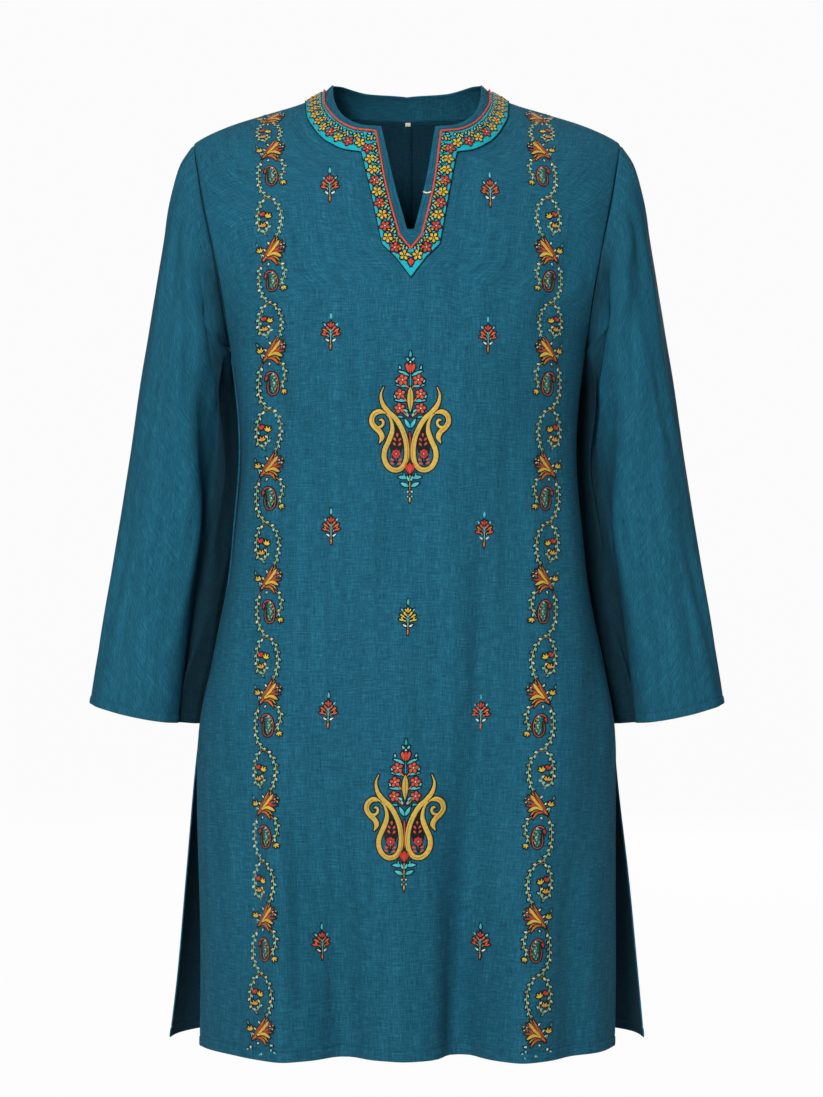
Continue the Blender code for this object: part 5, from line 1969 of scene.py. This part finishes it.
def makeStitches():
    work = []
    slitRow = int(np.searchsorted(panelEnds(back)[0][:, 1], tunic["slitTop"]))
    for places, _, normals in frontGrids + list(backGrids.values()):
        sewStitches(work, *gridLine(places, normals, *trims["hemStitches"]), "shade")
        side = gridLine(turned(places), turned(normals), *trims["slitStitches"])
        sewStitches(work, side[0][:slitRow + 1], side[1][:slitRow + 1], "shade")
    for places, _, normals in sleeveGrids.values():
        sewStitches(work, *gridLine(places[::-1], normals[::-1], *trims["cuffStitches"]), "shade")
    neckRows = ([trims["neckStitches"]], [trims["threadLift"]])
    places, _, normals = neckGrid(openingEdge, seamEdge, *neckRows, neckAlongs)
    sewStitches(work, places[0], normals[0], "shade")
    backAlongs = neckAlongs[neckAlongs < trims["footTo"]]
    foot = openingEdge(backAlongs) + (seamEdge(backAlongs) - openingEdge(backAlongs)) * trims["footShare"]
    for mirror in (1, -1):
        path, ways = neckPlace(foot, mirror, -tunic["clothThick"] - trims["threadLift"])
        sewStitches(work, path, -ways, "night")
    return layWork("stitches", work, inPlace)


allowances = makeAllowances()
pipingRadius = neck["pipingRadius"]
piping = neckCord("red_piping", pipingEdge, neck["trimLift"] + pipingRadius, pipingRadius, "redCord")
dress(piping, "neck_piping")
# the dark cord along the border's outer edge is drawn wide enough to stand for its shadow there too: a real
# cord and painted shadow both
edgingForm = (borderTop - trims["edgingSunk"], trims["edgingRadius"], "darkCordAndShadow", trims["edgingFlat"])
edging = neckCord("border_edging", borderEdge, *edgingForm)
dress(edging)
makeBar()
makeLabel()
borderFlowers = makeBorderWork()
stitches = makeStitches()
print("trims made")


cameraSettings = {
    "place": (0.0044, -2.6, -0.43),
    "pixelsPerMetre": 1034,
    "frameHeight": 1097,
    "sensor": 36,
}


def makeCamera():
    data = bpy.data.cameras.new("camera")
    data.sensor_fit = "VERTICAL"
    data.sensor_height = cameraSettings["sensor"]
    seen = cameraSettings["frameHeight"] / cameraSettings["pixelsPerMetre"]
    data.lens = cameraSettings["sensor"] * -cameraSettings["place"][1] / seen
    camera = bpy.data.objects.new("camera", data)
    camera.location = cameraSettings["place"]
    camera.rotation_euler = (math.pi / 2, 0, 0)
    bpy.context.scene.collection.objects.link(camera)
    bpy.context.scene.camera = camera


studio = {
    "floorHeight": -1.02,
    "floorRadius": 5.0,
    "rim": 3.5,
    "rimSteps": 12,
    "sides": 64,
    "colour": (0.72, 0.72, 0.72),
    "aimHeight": -0.40,
    "backdropGlow": 0.96,  # how far the backdrop shows plain white
    "world": (1.0, 1.0, 1.0),
    "worldStrength": 0.18,
    # place, size, watts
    "lamps": {
        "keyLamp": ((-0.80, -3.0, 0.75), 0.9, 110),
        "fillLamp": ((2.3, -2.2, -0.2), 1.6, 6),
        "topLamp": ((0.1, 0.4, 2.2), 1.6, 18),
        "backLamp": ((0.9, 3.0, 0.5), 1.8, 40),
    },
}


def makeFloor():
    # a round pale floor that curves up far from the tunic
    work = bmesh.new()
    line = [work.verts.new((0, 0, studio["floorHeight"]))]
    for turn in np.linspace(0, math.pi / 2, studio["rimSteps"] + 1).tolist():
        out = studio["floorRadius"] + studio["rim"] * math.sin(turn)
        line.append(work.verts.new((out, 0, studio["floorHeight"] + studio["rim"] * (1 - math.cos(turn)))))
    edges = [work.edges.new(pair) for pair in zip(line, line[1:])]
    spin = {"angle": 2 * math.pi, "steps": studio["sides"], "use_merge": True}
    bmesh.ops.spin(work, geom=line + edges, axis=(0, 0, 1), cent=(0, 0, 0), **spin)
    bmesh.ops.remove_doubles(work, verts=work.verts[:], dist=0.0001)
    bmesh.ops.recalc_face_normals(work, faces=work.faces[:])
    material, tree, shader = startMaterial("paleFloor", 0.9)
    shader.inputs["Base Color"].default_value = (*studio["colour"], 1)
    glow = tree.nodes.new("ShaderNodeEmission")
    rays = tree.nodes.new("ShaderNodeLightPath")
    blend = tree.nodes.new("ShaderNodeMixShader")
    share = times(tree, rays.outputs["Is Camera Ray"], studio["backdropGlow"])
    tree.links.new(share, blend.inputs["Fac"])
    tree.links.new(shader.outputs["BSDF"], blend.inputs[1])
    tree.links.new(glow.outputs["Emission"], blend.inputs[2])
    tree.links.new(blend.outputs["Shader"], tree.nodes["Material Output"].inputs["Surface"])
    floor = finishMesh("floor", work, material)


def makeLights():
    world = bpy.data.worlds.new("studio")
    world.use_nodes = True
    background = world.node_tree.nodes["Background"]
    background.inputs["Color"].default_value = (*studio["world"], 1)
    background.inputs["Strength"].default_value = studio["worldStrength"]
    bpy.context.scene.world = world
    for name, (place, size, power) in studio["lamps"].items():
        data = bpy.data.lights.new(name, "AREA")
        data.shape = "DISK"
        data.size = size
        data.energy = power
        lamp = bpy.data.objects.new(name, data)
        lamp.location = place
        aim = Vector((0, 0, studio["aimHeight"]))
        lamp.rotation_euler = (aim - lamp.location).to_track_quat("-Z", "Y").to_euler()
        bpy.context.scene.collection.objects.link(lamp)


makeCamera()
makeFloor()
makeLights()
bpy.context.scene.view_settings.view_transform = "Standard"

print("scene finished")
